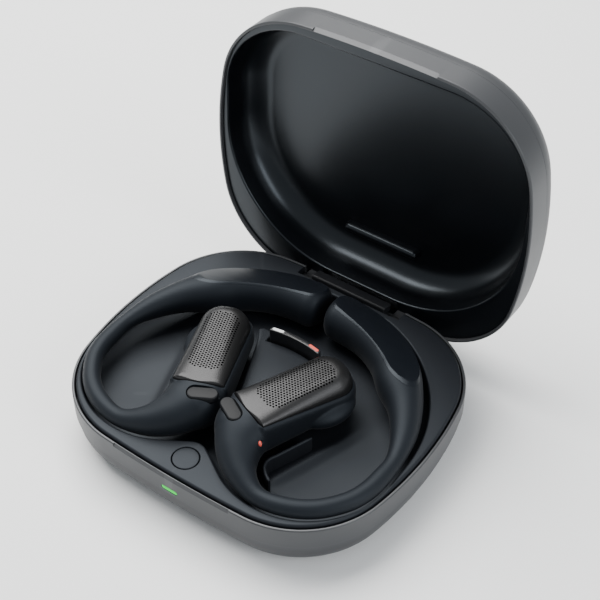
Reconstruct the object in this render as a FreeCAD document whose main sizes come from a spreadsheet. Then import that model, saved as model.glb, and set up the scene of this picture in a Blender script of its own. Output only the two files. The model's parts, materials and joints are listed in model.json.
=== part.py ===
import FreeCAD, Part
import math
import os
from FreeCAD import Matrix, Placement, Rotation, Vector

# Two open-ear hook earphones in a hinged charging case. Millimetres, +Z up, origin at the centre of the
# face that the case rests on. The front of the case faces -Y and the hinge runs along X at the rear.
# The lid is drawn closed and then turned back to its open stop.

doc = FreeCAD.newDocument("hook_earphones_in_case")

# ---------------------------------------------------------------- driving dimensions
DIMENSIONS = [
    ("case_width", 82.0, "outer width of the case along X"),
    ("case_depth", 70.0, "outer depth of the case along Y"),
    ("front_bow", 325.0, "radius of the gently bowed front and rear"),
    ("side_bow", 85.0, "radius of the bowed sides"),
    ("corner_round", 22.9, "radius of the four corners"),
    ("pan_height", 8.0, "height of the lower pan"),
    ("pan_inset", 0.4, "step from the band in to the pan"),
    ("pan_round", 6.5, "rounding under the pan"),
    ("pan_wall", 1.6, "wall and floor of the pan"),
    ("band_height", 5.5, "height of the base band"),
    ("band_wall", 1.0, "wall of the base band"),
    ("rim_wall", 0.6, "wall of the base band beside the deck"),
    ("ledge_drop", 1.3, "depth of the ledge that the deck rests on"),
    ("deck_top", 14.0, "height of the deck"),
    ("deck_inset", 1.0, "step from the band in to the deck"),
    ("deck_thick", 1.8, "thickness of the deck flange"),
    ("deck_round", 0.6, "rounding of the deck's edge"),
    ("recess_floor", 9.1, "height of the recess floor"),
    ("tray_wall", 0.6, "wall of the recess"),
    ("tray_floor", 1.0, "thickness of the recess floor"),
    ("platform_top", 13.2, "height of the platform between the heads"),
    ("strip_top", 16.6, "height of the marked strip"),
    ("hinge_y", 32.2, "hinge axis, distance behind the centre"),
    ("hinge_z", 10.49, "hinge axis, height"),
    ("barrel_radius", 2.0, "radius of the hinge barrels"),
    ("pin_radius", 0.75, "radius of the hinge pin"),
    ("pin_clearance", 0.05, "running clearance round the pin"),
    ("open_angle", 92.3, "angle from closed to the open stop"),
    ("lid_split", 13.7, "height of the lid's rim when closed"),
    ("lid_band_height", 6.45, "height of the lid band"),
    ("lid_wall", 0.7, "wall of the lid band"),
    ("lid_top", 27.0, "height of the closed case"),
    ("lid_round", 6.3, "rounding of the lid cover"),
    ("cover_wall", 0.8, "wall of the lid cover"),
    ("flange_depth", 0.8, "step from the rim up to the liner's flange"),
    ("bowl_gap", 0.3, "how far the liner's bowl stands outside the recess"),
    ("liner_wall", 0.6, "wall of the liner"),
    ("ceiling", 24.4, "height of the liner's ceiling when closed"),
    ("button_radius", 2.85, "radius of the case button"),
    ("button_y", 29.14, "distance of the case button in front of the centre"),
    ("hook_radius", 1.9, "radius of the thin part of the hook"),
    ("wire_radius", 0.4, "radius of the spring wire in the hook"),
    ("pod_radius", 5.2, "radius of the battery pod"),
    ("pod_z", 15.2, "height of the pod's centre line"),
    ("hook_z", 14.5, "height of the hook's centre line"),
    ("head_bottom", 12.0, "underside of the speaker head"),
    ("head_rim", 19.4, "height of the shell's rim round the plate"),
    ("head_top", 22.6, "top of the grille plate"),
    ("plate_thick", 0.5, "thickness of the grille plate"),
    ("shell_wall", 1.1, "wall of the head shell"),
    ("pogo_radius", 0.55, "radius of a charging pin"),
    ("pogo_clearance", 0.06, "running clearance round a charging pin"),
]

sheet = doc.addObject("Spreadsheet::Sheet", "dims")
for row, (alias, value, note) in enumerate(DIMENSIONS, start=1):
    sheet.set("A%d" % row, note)
    sheet.set("B%d" % row, str(value))
    sheet.setAlias("B%d" % row, alias)
doc.recompute()


def dim(alias):
    """Value of one driving dimension."""
    return float(sheet.get(alias))


# ---------------------------------------------------------------- small helpers
def bind(obj, prop, value):
    """Set a property to a number, or bind it to an expression on the sheet."""
    if isinstance(value, str):
        obj.setExpression(prop, value)
    else:
        setattr(obj, prop, value)


def place(obj, x=0.0, y=0.0, z=0.0, rotation=None):
    """Place an object. A coordinate may be a number or an expression."""
    numbers = [0.0 if isinstance(v, str) else v for v in (x, y, z)]
    obj.Placement = Placement(Vector(*numbers), rotation or Rotation())
    for axis, value in zip("xyz", (x, y, z)):
        if isinstance(value, str):
            obj.setExpression("Placement.Base." + axis, value)
    return obj


def block(name, size, corner, rotation=None):
    """Box from its size and its lowest corner."""
    obj = doc.addObject("Part::Box", name)
    for prop, value in zip(("Length", "Width", "Height"), size):
        bind(obj, prop, value)
    return place(obj, *corner, rotation=rotation)


def rod(name, radius, length, start, direction=(0, 0, 1)):
    """Cylinder from the centre of its first face, along a direction."""
    obj = doc.addObject("Part::Cylinder", name)
    bind(obj, "Radius", radius)
    bind(obj, "Height", length)
    return place(obj, *start, rotation=Rotation(Vector(0, 0, 1), Vector(*direction)))


def ring(name, major, minor, centre, start_angle, sweep):
    """Part of a torus about a vertical axis."""
    obj = doc.addObject("Part::Torus", name)
    bind(obj, "Radius1", major)
    bind(obj, "Radius2", minor)
    obj.Angle3 = sweep
    return place(obj, *centre, rotation=Rotation(Vector(0, 0, 1), start_angle))


def cut(name, base, *tools):
    """One object less one or more others."""
    obj = doc.addObject("Part::Cut", name)
    obj.Base = base
    obj.Tool = tools[0] if len(tools) == 1 else fuse(name + "_tools", *tools)
    return obj


def fuse(name, *shapes):
    """Several objects joined."""
    obj = doc.addObject("Part::MultiFuse", name)
    obj.Shapes = list(shapes)
    return obj


def group(name, *shapes):
    """Separate solids kept together in one piece of the list."""
    obj = doc.addObject("Part::Compound", name)
    obj.Links = list(shapes)
    return obj


def common(name, *shapes):
    """What several objects share."""
    obj = doc.addObject("Part::MultiCommon", name)
    obj.Shapes = list(shapes)
    return obj


def pill(name, long_side, short_side, height, centre, angle=0.0):
    """Upright slab with two round ends, its long side along X before it is turned."""
    half = (long_side - short_side) / 2.0
    middle = block(name + "_mid", (2 * half, short_side, height), (-half, -short_side / 2.0, 0.0))
    ends = [rod(name + "_end%d" % i, short_side / 2.0, height, (s * half, 0, 0)) for i, s in enumerate((-1, 1))]
    obj = fuse(name, middle, *ends)
    obj.Refine = True
    return place(obj, *centre, rotation=Rotation(Vector(0, 0, 1), angle))


def loft(name, sections):
    """Solid through ellipses: centre, direction, half width across, half height."""
    rings = []
    for i, (centre, direction, half_width, half_height) in enumerate(sections):
        along = Vector(*direction)
        across = Vector(0, 0, 1).cross(along)
        turn = Rotation(across, Vector(0, 0, 1), along, "XYZ")
        ellipse = doc.addObject("Part::Ellipse", "%s_ring%d" % (name, i))
        ellipse.MajorRadius = max(half_width, half_height)
        ellipse.MinorRadius = min(half_width, half_height)
        ellipse.Placement = Placement(Vector(*centre), turn)
        rings.append(ellipse)
    obj = doc.addObject("Part::Loft", name)
    obj.Sections = rings
    obj.Solid = True
    obj.Ruled = False
    return obj


# ---------------------------------------------------------------- sketches
def arc(sketch, centre, radius, start, end):
    """Arc from one angle to another, counter-clockwise, in degrees."""
    circle = Part.Circle(Vector(centre[0], centre[1], 0), Vector(0, 0, 1), radius)
    sketch.addGeometry(Part.ArcOfCircle(circle, math.radians(start), math.radians(end)), False)


def line(sketch, first, last):
    """Straight line between two points."""
    sketch.addGeometry(Part.LineSegment(Vector(*first, 0), Vector(*last, 0)), False)


def new_body(name):
    """PartDesign body with its label."""
    body = doc.addObject("PartDesign::Body", name)
    body.Label = name
    return body


def new_sketch(body, name, height):
    """Sketch parallel to the body's XY plane at a height, which may be an expression."""
    sketch = body.newObject("Sketcher::SketchObject", name)
    plane = [f for f in body.Origin.OriginFeatures if f.Role == "XY_Plane"][0]
    sketch.AttachmentSupport = (plane, "")
    sketch.MapMode = "FlatFace"
    if isinstance(height, str):
        sketch.setExpression("AttachmentOffset.Base.z", height)
    else:
        sketch.AttachmentOffset = Placement(Vector(0, 0, height), Rotation())
    return sketch


def pad(body, sketch, length):
    """Pad a sketch upwards."""
    feature = body.newObject("PartDesign::Pad", sketch.Name + "_pad")
    feature.Profile = sketch
    bind(feature, "Length", length)
    doc.recompute()
    return feature


def pocket(body, sketch, depth, upwards=False):
    """Pocket a sketch, and make sure that it takes something away."""
    before = body.Shape.Volume
    feature = body.newObject("PartDesign::Pocket", sketch.Name + "_pocket")
    feature.Profile = sketch
    feature.Reversed = upwards
    bind(feature, "Length", depth)
    doc.recompute()
    if body.Shape.Volume > before - 0.01:
        raise RuntimeError(body.Name + ": " + feature.Name + " cuts nothing")
    return feature


def round_edges(body, base, height, radius, keep=None):
    """Fillet the level edges of a feature that lie at one height."""
    names = []
    for i, edge in enumerate(base.Shape.Edges, start=1):
        box = edge.BoundBox
        level = abs(box.ZMin - height) < 1e-4 and abs(box.ZMax - height) < 1e-4
        if level and (keep is None or keep(edge)):
            names.append("Edge%d" % i)
    feature = body.newObject("PartDesign::Fillet", body.Name + "_fillet%d" % len(body.Group))
    feature.Base = (base, names)
    bind(feature, "Radius", radius)
    doc.recompute()
    return feature


def case_outline(sketch, inset):
    """Case outline: four shallow bows joined by four tangent corners, set in by a distance."""
    half_width = dim("case_width") / 2.0
    half_depth = dim("case_depth") / 2.0
    front, side, corner = dim("front_bow"), dim("side_bow"), dim("corner_round")
    front_centre = half_depth - front
    side_centre = half_width - side
    # the corner's centre is at fixed distances from the centres of both bows
    reach_front = front - corner
    reach_side = side - corner
    span = math.hypot(side_centre, front_centre)
    along = (reach_front ** 2 - reach_side ** 2 + span ** 2) / (2.0 * span)
    off = math.sqrt(reach_front ** 2 - along ** 2)
    ux, uy = side_centre / span, -front_centre / span
    cx = ux * along + uy * off
    cy = front_centre + uy * along - ux * off
    bow = math.degrees(math.atan2(cx, cy - front_centre))
    flank = math.degrees(math.atan2(cy, cx - side_centre))
    arc(sketch, (0, front_centre), front - inset, 90 - bow, 90 + bow)
    arc(sketch, (0, -front_centre), front - inset, 270 - bow, 270 + bow)
    arc(sketch, (side_centre, 0), side - inset, -flank, flank)
    arc(sketch, (-side_centre, 0), side - inset, 180 - flank, 180 + flank)
    arc(sketch, (cx, cy), corner - inset, flank, 90 - bow)
    arc(sketch, (-cx, cy), corner - inset, 90 + bow, 180 - flank)
    arc(sketch, (-cx, -cy), corner - inset, 180 + flank, 270 - bow)
    arc(sketch, (cx, -cy), corner - inset, 270 + bow, 360 - flank)


def case_slab(name, inset, bottom, height, rounded=None, radius=None):
    """Slab with the case's outline, set in by a distance. One of its two edge loops may be rounded."""
    body = new_body(name)
    sketch = new_sketch(body, name + "_outline", bottom)
    case_outline(sketch, inset)
    solid = pad(body, sketch, height)
    if radius:
        round_edges(body, solid, rounded, radius)
    return body


# recess for the earphones: a front lobe and a rear lobe on each side, and a rounded nose in the middle
RECESS_SIDE = 38.4
REAR_CENTRE = (2.8, -5.0)
REAR_LOBE = RECESS_SIDE - REAR_CENTRE[0]
REAR_LINE = 29.3
FRONT_CENTRE = (18.3, -11.0)
FRONT_LOBE = RECESS_SIDE - FRONT_CENTRE[0]
NOSE_SLOPE = 31.0
NOSE_ROUND = 4.0


def recess_outline(sketch, grow):
    """Outline of the recess, grown outwards by a distance."""
    slope = math.radians(NOSE_SLOPE)
    rear = REAR_LOBE + grow
    front = FRONT_LOBE + grow
    nose = NOSE_ROUND - grow
    leave = (FRONT_CENTRE[0] - front * math.sin(slope), FRONT_CENTRE[1] - front * math.cos(slope))
    touch_x = nose * math.sin(slope)
    touch = (touch_x, leave[1] + (leave[0] - touch_x) * math.tan(slope))
    nose_centre = (0.0, touch[1] - nose * math.cos(slope))
    side = REAR_CENTRE[0] + rear
    # the straight rear line cuts both rear lobes short
    top = REAR_LINE + grow
    rear_end = math.asin((top - REAR_CENTRE[1]) / rear)
    corner = REAR_CENTRE[0] + rear * math.cos(rear_end)
    rear_end = math.degrees(rear_end)
    line(sketch, (-corner, top), (corner, top))
    arc(sketch, REAR_CENTRE, rear, 0, rear_end)
    line(sketch, (side, REAR_CENTRE[1]), (side, FRONT_CENTRE[1]))
    arc(sketch, FRONT_CENTRE, front, -90 - NOSE_SLOPE, 0)
    line(sketch, leave, touch)
    arc(sketch, nose_centre, nose, 90 - NOSE_SLOPE, 90 + NOSE_SLOPE)
    line(sketch, (-touch[0], touch[1]), (-leave[0], leave[1]))
    arc(sketch, (-FRONT_CENTRE[0], FRONT_CENTRE[1]), front, 180, 270 + NOSE_SLOPE)
    line(sketch, (-side, FRONT_CENTRE[1]), (-side, REAR_CENTRE[1]))
    arc(sketch, (-REAR_CENTRE[0], REAR_CENTRE[1]), rear, 180 - rear_end, 180)


# bowl in the lid: a rounded rectangle with wider corners at the rear
BOWL_SIDE = 38.4
BOWL_REAR = (8.0, -1.8)
BOWL_FRONT = (18.3, -11.0)


def bowl_outline(sketch, grow):
    """Outline of the lid's bowl, grown outwards by a distance."""
    rear = BOWL_SIDE - BOWL_REAR[0] + grow
    front = BOWL_SIDE - BOWL_FRONT[0] + grow
    top = BOWL_REAR[1] + rear
    bottom = BOWL_FRONT[1] - front
    side = BOWL_SIDE + grow
    line(sketch, (-BOWL_REAR[0], top), (BOWL_REAR[0], top))
    arc(sketch, BOWL_REAR, rear, 0, 90)
    line(sketch, (side, BOWL_REAR[1]), (side, BOWL_FRONT[1]))
    arc(sketch, BOWL_FRONT, front, -90, 0)
    line(sketch, (BOWL_FRONT[0], bottom), (-BOWL_FRONT[0], bottom))
    arc(sketch, (-BOWL_FRONT[0], BOWL_FRONT[1]), front, 180, 270)
    line(sketch, (-side, BOWL_FRONT[1]), (-side, BOWL_REAR[1]))
    arc(sketch, (-BOWL_REAR[0], BOWL_REAR[1]), rear, 90, 180)


nodes = {}


def keep(name, obj):
    """Register a finished piece under the name of its file."""
    obj.Label = name
    nodes[name] = obj
    return obj


# ---------------------------------------------------------------- base of the case
HINGE_BLOCK = 10.2
ARM_INNER = 10.9
ARM_OUTER = 13.9
NOTCH_HALF = 14.2
DECK_NOTCH_Y = 30.9
REAR_RELIEF = 3.3
REAR_RELIEF_HALF = 21.2
CORNER_RELIEF = 3.1
CORNER_RELIEF_HALF = 27.5
SCREW_SPOTS = [(29.0, 16.0), (29.0, -14.0), (-29.0, 16.0), (-29.0, -14.0)]
PORT_Z = 5.5
PORT_SIZE = (9.0, 3.3)


def usb_pill(name, long_side, short_side, length, rear):
    """Slab with round ends that lies along Y, centred on the charging port."""
    slab = pill(name, long_side, short_side, length, (0, 0, 0))
    slab.Placement = Placement(Vector(0, rear, PORT_Z), Rotation(Vector(1, 0, 0), 90))
    return slab


def make_pan():
    outer = case_slab("pan_outer", dim("pan_inset"), 0.0, "dims.pan_height", 0.0, "dims.pan_round")
    wall = dim("pan_wall")
    hollow = case_slab("pan_hollow", dim("pan_inset") + wall, "dims.pan_wall", "dims.pan_height",
                       wall, "dims.pan_round - 1.4")
    tray_under = "dims.recess_floor - dims.tray_floor - 1.2"
    bosses = []
    drills = []
    for i, (x, y) in enumerate(SCREW_SPOTS):
        bosses.append(rod("pan_boss%d" % i, 2.2, tray_under, (x, y, 1.2)))
        drills.append(rod("pan_drill%d" % i, 0.75, 12.0, (x, y, -1.0)))
        drills.append(rod("pan_sink%d" % i, 1.5, 1.0, (x, y, 0.0)))
    whole = fuse("pan_with_bosses", cut("pan_shell", outer, hollow), *bosses)
    port = usb_pill("pan_port", PORT_SIZE[0], PORT_SIZE[1], 8.0, 38.0)
    keep("base_pan", cut("pan_cut", whole, port, *drills))
    screws = []
    for i, (x, y) in enumerate(SCREW_SPOTS):
        shank = rod("screw_shank%d" % i, 0.7, 6.6, (x, y, 0.9))
        head = rod("screw_head%d" % i, 1.35, 0.6, (x, y, 0.4))
        screws.append(fuse("screw%d" % i, shank, head))
    keep("base_screws", group("screw_group", *screws))


def rear_relief(name, radius, half_length):
    """What lies outside a cylinder about the hinge axis, above and behind it."""
    space = block(name + "_space", (2 * half_length, 6.0, 8.0), (-half_length, "dims.hinge_y", "dims.hinge_z"))
    inside = rod(name + "_inside", radius, 2 * half_length + 2, (-half_length - 1, 0, 0), (1, 0, 0))
    inside.setExpression("Placement.Base.y", "dims.hinge_y")
    inside.setExpression("Placement.Base.z", "dims.hinge_z")
    return cut(name, space, inside)


THUMB_HALF = 15.25


def thumb_tool(name, depth, edge, foot):
    """Tool for a slanted thumb facet along the front bow, from a depth at an edge out to nothing at the foot."""
    beyond = edge + (edge - foot)
    low, high = min(beyond, foot), max(beyond, foot)
    outer = dim("front_bow")
    inner = outer - 2.0 * depth
    bow_y = outer - dim("case_depth") / 2.0
    blank = block(name + "_blank", (2 * THUMB_HALF, 4.0, high - low), (-THUMB_HALF, -37.0, low))
    keep_cone = doc.addObject("Part::Cone", name + "_cone")
    keep_cone.Radius1 = inner if low == beyond else outer
    keep_cone.Radius2 = outer if low == beyond else inner
    keep_cone.Height = high - low
    keep_cone.Placement = Placement(Vector(0, bow_y, low), Rotation())
    return cut(name + "_tool", blank, keep_cone)


def make_band():
    body = new_body("band_body")
    outline = new_sketch(body, "band_outline", "dims.pan_height")
    case_outline(outline, 0.0)
    pad(body, outline, "dims.band_height")
    inner = new_sketch(body, "band_inner", "dims.pan_height + dims.band_height")
    case_outline(inner, dim("band_wall"))
    pocket(body, inner, "dims.band_height + 1")
    step = new_sketch(body, "band_step", "dims.pan_height + dims.band_height")
    case_outline(step, dim("rim_wall"))
    pocket(body, step, "dims.ledge_drop")
    band_top = dim("pan_height") + dim("band_height")
    thumb = thumb_tool("thumb", 0.4, band_top, band_top - 0.9)
    slot = block("light_slot", (4.1, 3.0, 1.0), (-2.05, -36.0, 8.94))
    notch = block("band_notch", (2 * NOTCH_HALF, 8.0, 8.0), (-NOTCH_HALF, 30.0, 8.3))
    relief = rear_relief("band_relief", REAR_RELIEF, REAR_RELIEF_HALF)
    corner_relief = rear_relief("band_corner_relief", CORNER_RELIEF, CORNER_RELIEF_HALF)
    keep("base_band", cut("band_cut", body, thumb, slot, notch, relief, corner_relief))
    keep("led_light_pipe", block("light_pipe", (4.1, 3.2, 1.0), (-2.05, -34.9, 8.94)))


# frame of a speaker head: its origin is on the head's centre line, u runs to the tip, v to the outer side
HEAD_ORIGIN = Vector(7.69, -12.6, 0.0)
HEAD_TURN = -21.2
HEAD_FRAME = Placement(HEAD_ORIGIN, Rotation(Vector(0, 0, 1), HEAD_TURN))
CONTACT_SPOTS = [(-1.7, 1.2), (1.7, 1.2)]


def head_point(v, u, z=0.0):
    """Point given in the head's frame."""
    return HEAD_FRAME.multVec(Vector(v, u, z))


def both_sides(name, obj):
    """Register a piece of the right earphone and its mirror image for the left one."""
    keep("right_" + name, obj)
    image = doc.addObject("Part::Mirroring", name + "_image")
    image.Source = obj
    image.Normal = Vector(1, 0, 0)
    image.Base = Vector(0, 0, 0)
    keep("left_" + name, image)
    return obj


def polygon(sketch, points):
    """Closed outline of straight lines."""
    for first, last in zip(points, points[1:] + points[:1]):
        line(sketch, first, last)


# the marked strip between the heads is bowed to the rear
STRIP_BOW = 28.0
STRIP_BOW_Y = -17.25
SLOT_HALF = 7.3


def make_tray():
    body = new_body("tray_body")
    flange = new_sketch(body, "deck_outline", "dims.deck_top - dims.deck_thick")
    case_outline(flange, dim("deck_inset"))
    deck = pad(body, flange, "dims.deck_thick")
    round_edges(body, deck, dim("deck_top"), "dims.deck_round")
    tub = new_sketch(body, "tub_outline", "dims.recess_floor - dims.tray_floor")
    recess_outline(tub, dim("tray_wall"))
    pad(body, tub, "dims.deck_top - dims.deck_thick - dims.recess_floor + dims.tray_floor + 0.1")
    recess = new_sketch(body, "recess_edge", "dims.deck_top + 0.01")
    recess_outline(recess, 0.0)
    pocket(body, recess, "dims.deck_top - dims.recess_floor + 0.01")
    platform = new_sketch(body, "platform_outline", "dims.recess_floor - 0.1")
    half = [(1.0, -11.0), (8.2, 6.0), (9.0, 7.9), (10.9, 11.0), (10.0, 11.8)]
    polygon(platform, half + [(-x, y) for x, y in half[::-1]])
    pad(body, platform, "dims.platform_top - dims.recess_floor + 0.1")
    for side in (-1, 1):
        wall = new_sketch(body, "wall_outline%d" % (side + 1), "dims.recess_floor - 0.1")
        corners = [head_point(v, u) for v, u in ((7.5, -1.6), (8.3, -1.6), (8.3, 7.2), (7.5, 7.2))]
        polygon(wall, [(side * p.x, p.y) for p in corners])
        pad(body, wall, 4.1)
    hinge_notch = block("tray_notch", (2 * NOTCH_HALF, 8.0, 8.0), (-NOTCH_HALF, DECK_NOTCH_Y, 11.0))
    button_hole = rod("button_hole", "dims.button_radius + 0.18", 6.0, (0, "-dims.button_y", 11.0))
    slot = block("slot_blank", (2 * SLOT_HALF, 6.0, 9.0), (-SLOT_HALF, 7.0, "dims.recess_floor"))
    slot_front = rod("slot_front", STRIP_BOW - 1.0, 9.0, (0, STRIP_BOW_Y, "dims.recess_floor"))
    strip_seat = cut("strip_seat", slot, slot_front)
    holes = []
    for i, (v, u) in enumerate(CONTACT_SPOTS):
        spot = head_point(v, u)
        for side in (-1, 1):
            name = "pin_hole%d%s" % (i, "l" if side < 0 else "r")
            holes.append(rod(name, "dims.pogo_radius + dims.pogo_clearance", 5.0, (side * spot.x, spot.y, 7.0)))
    keep("tray", cut("tray_cut", body, hinge_notch, button_hole, strip_seat, *holes))


def make_strip():
    rise = "dims.strip_top - dims.recess_floor"
    foot = (0, STRIP_BOW_Y, "dims.recess_floor")
    blank = block("strip_blank", (13.4, 4.0, rise), (-6.7, 8.6, "dims.recess_floor"))
    outer = rod("strip_outer", STRIP_BOW + 0.65, rise, foot)
    inner = rod("strip_inner", STRIP_BOW - 0.65, rise, foot)
    bar = cut("strip_bar", common("strip_outside", blank, outer), inner)
    recesses = []
    mark_turn = math.degrees(math.asin(4.84 / STRIP_BOW))
    mark_y = STRIP_BOW_Y + math.sqrt(STRIP_BOW ** 2 - 4.84 ** 2)
    for name, side in (("white", -1), ("red", 1)):
        spot = (side * 4.84, mark_y, "dims.strip_top - 0.3")
        mark = pill("mark_" + name, 2.8, 0.7, 0.3, spot, -side * mark_turn)
        recesses.append(mark)
        keep("strip_mark_" + name, mark)
    keep("side_strip", cut("strip_cut", bar, *recesses))


def make_button():
    cap = rod("button_cap", "dims.button_radius", "dims.deck_top - 11.9", (0, "-dims.button_y", 11.9))
    flange = rod("button_flange", 3.5, 0.35, (0, "-dims.button_y", 11.7))
    stem = rod("button_stem", 0.9, 1.2, (0, "-dims.button_y", 10.6))
    keep("case_button", fuse("button_parts", cap, flange, stem))
    keep("button_switch", block("switch_box", (4.2, 3.6, 2.6), (-2.1, -30.9, 7.5)))


def make_base_inside():
    board = block("board_blank", (36.0, 24.0, 0.8), (-18.0, -31.5, 6.7))
    keep("case_board", board)
    keep("case_battery", block("battery_block", (46.0, 28.0, 3.9), (-23.0, -9.0, "dims.pan_wall")))
    shell = usb_pill("port_shell", 8.94, 3.26, 7.3, 34.3)
    bore = usb_pill("port_bore", 8.34, 2.66, 7.0, 34.4)
    keep("usb_c_shell", cut("port_cut", shell, bore))
    keep("usb_c_tongue", block("port_tongue", (6.7, 4.9, 0.7), (-3.35, 27.4, PORT_Z - 0.35)))
    for side, label in ((-1, "left"), (1, "right")):
        pins = []
        for i, (v, u) in enumerate(CONTACT_SPOTS):
            spot = head_point(v, u)
            pins.append(rod("%s_pin%d" % (label, i), "dims.pogo_radius", 3.9, (side * spot.x, spot.y, 8.0)))
        keep(label + "_charge_pins", group(label + "_pin_group", *pins))
    magnets = [rod("tray_magnet%d" % (s + 1), 2.0, 1.4, (s * 16.0, 21.0, 6.65)) for s in (-1, 1)]
    keep("tray_magnets", group("tray_magnet_group", *magnets))
    latches = [block("base_latch%d" % (s + 1), (6.0, 1.6, 2.2), (s * 10.5 - 3.0, -33.0, 9.95)) for s in (-1, 1)]
    keep("base_latch_magnets", group("base_latch_group", *latches))


def make_hinge():
    barrel = rod("knuckle_barrel", "dims.barrel_radius", 2 * HINGE_BLOCK, (-HINGE_BLOCK, 0, 0), (1, 0, 0))
    barrel.setExpression("Placement.Base.y", "dims.hinge_y")
    barrel.setExpression("Placement.Base.z", "dims.hinge_z")
    foot = block("knuckle_foot", (2 * HINGE_BLOCK, 2.2, 3.95), (-HINGE_BLOCK, 30.0, 8.2))
    bore = rod("knuckle_bore", "dims.pin_radius", 40.0, (-20.0, 0, 0), (1, 0, 0))
    bore.setExpression("Placement.Base.y", "dims.hinge_y")
    bore.setExpression("Placement.Base.z", "dims.hinge_z")
    keep("hinge_knuckle", cut("knuckle_cut", fuse("knuckle_blank", barrel, foot), bore))
    pin = rod("pin_rod", "dims.pin_radius", 27.6, (-13.8, 0, 0), (1, 0, 0))
    pin.setExpression("Placement.Base.y", "dims.hinge_y")
    pin.setExpression("Placement.Base.z", "dims.hinge_z")
    keep("hinge_pin", pin)
    body = new_body("hinge_cover_body")
    sketch = body.newObject("Sketcher::SketchObject", "hinge_cover_profile")
    plane = [f for f in body.Origin.OriginFeatures if f.Role == "YZ_Plane"][0]
    sketch.AttachmentSupport = (plane, "")
    sketch.MapMode = "FlatFace"
    front = DECK_NOTCH_Y + 0.05
    polygon(sketch, [(front, 12.6), (34.1, 12.6), (34.3, 14.26), (31.3, 15.25), (front, 14.9)])
    bar = pad(body, sketch, 2 * HINGE_BLOCK)
    bar.Midplane = True
    doc.recompute()
    keep("hinge_cover", body)


# ---------------------------------------------------------------- lid, drawn closed
def open_lid(name, obj):
    """Turn a closed lid piece back about the hinge to its open stop."""
    axis_point = Vector(0, dim("hinge_y"), dim("hinge_z"))
    turn = Rotation(Vector(1, 0, 0), -dim("open_angle"))
    opened = Placement(axis_point, Rotation()) * Placement(Vector(), turn) * Placement(-axis_point, Rotation())
    holder = group(name + "_opened", obj)
    holder.Placement = opened
    keep(name, holder)


def hinge_well(name, radius, half_length):
    """Cylinder about the hinge axis."""
    well = rod(name, radius, 2 * half_length, (-half_length, 0, 0), (1, 0, 0))
    well.setExpression("Placement.Base.y", "dims.hinge_y")
    well.setExpression("Placement.Base.z", "dims.hinge_z")
    return well


def make_lid_band():
    body = new_body("lid_band_body")
    outline = new_sketch(body, "lid_band_outline", "dims.lid_split")
    case_outline(outline, 0.0)
    pad(body, outline, "dims.lid_band_height")
    inner = new_sketch(body, "lid_band_inner", "dims.lid_split + dims.lid_band_height")
    case_outline(inner, dim("lid_wall"))
    pocket(body, inner, "dims.lid_band_height + 1")
    split = dim("lid_split")
    thumb = thumb_tool("lid_thumb", 0.5, split, split + 1.1)
    well = hinge_well("band_well", 5.2, 10.5)
    open_lid("lid_band", cut("lid_band_cut", body, thumb, well))


def make_lid_cover():
    rise = "dims.lid_top - dims.lid_split - dims.lid_band_height"
    foot = "dims.lid_split + dims.lid_band_height"
    wall = dim("cover_wall")
    outer = case_slab("cover_outer", 0.15, foot, rise, dim("lid_top"), "dims.lid_round")
    hollow = case_slab("cover_hollow", 0.15 + wall, foot + " - 1", rise + " - dims.cover_wall + 1",
                       dim("lid_top") - wall, "dims.lid_round - dims.cover_wall")
    open_lid("lid_cover", cut("lid_cover_cut", outer, hollow))


def bowl_slab(name, grow, bottom, height, rounded, radius):
    """Slab with the bowl's outline and a rounded upper edge."""
    body = new_body(name)
    sketch = new_sketch(body, name + "_sketch", bottom)
    bowl_outline(sketch, grow)
    solid = pad(body, sketch, height)
    round_edges(body, solid, rounded, radius)
    return body


def make_lid_liner():
    foot = "dims.lid_split + dims.flange_depth"
    rise = "dims.ceiling - dims.lid_split - dims.flange_depth"
    wall = dim("liner_wall")
    ceiling = dim("ceiling")
    flange = case_slab("liner_flange", dim("lid_wall"), foot, 1.2)
    bowl = bowl_slab("liner_bowl", dim("bowl_gap") + wall, foot, rise + " + dims.liner_wall", ceiling + wall, 6.6)
    hollow = bowl_slab("liner_hollow", dim("bowl_gap"), foot + " - 1", rise + " + 1", ceiling, 6.0)
    whole = fuse("liner_whole", flange, bowl)
    well = hinge_well("liner_well", 5.2, 10.5)
    open_lid("lid_liner", cut("lid_liner_cut", whole, hollow, well))


def make_lid_inside():
    rib = pill("rib_bar", 20.1, 2.2, 2.4, (0, 21.1, "dims.ceiling - 2.4"))
    open_lid("lid_rib", rib)
    latches = [block("lid_latch%d" % (s + 1), (6.0, 1.3, 2.6), (s * 10.5 - 3.0, -33.8, 15.9)) for s in (-1, 1)]
    open_lid("lid_latch_magnets", group("lid_latch_group", *latches))
    arms = []
    for side in (-1, 1):
        tag = "l" if side < 0 else "r"
        start = -ARM_OUTER if side < 0 else ARM_INNER
        width = ARM_OUTER - ARM_INNER
        barrel = rod("arm_barrel_" + tag, "dims.barrel_radius - 0.1", width, (start, 0, 0), (1, 0, 0))
        bore = rod("arm_bore_" + tag, "dims.pin_radius + dims.pin_clearance", 6.0, (start - 1, 0, 0), (1, 0, 0))
        for piece in (barrel, bore):
            piece.setExpression("Placement.Base.y", "dims.hinge_y")
            piece.setExpression("Placement.Base.z", "dims.hinge_z")
        strap = block("arm_strap_" + tag, (width, 2.5, 4.01), (start, 31.3, "dims.hinge_z"))
        arms.append(cut("arm_" + tag, fuse("arm_blank_" + tag, barrel, strap), bore))
    open_lid("lid_hinge_arms", group("arm_group", *arms))


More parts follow.
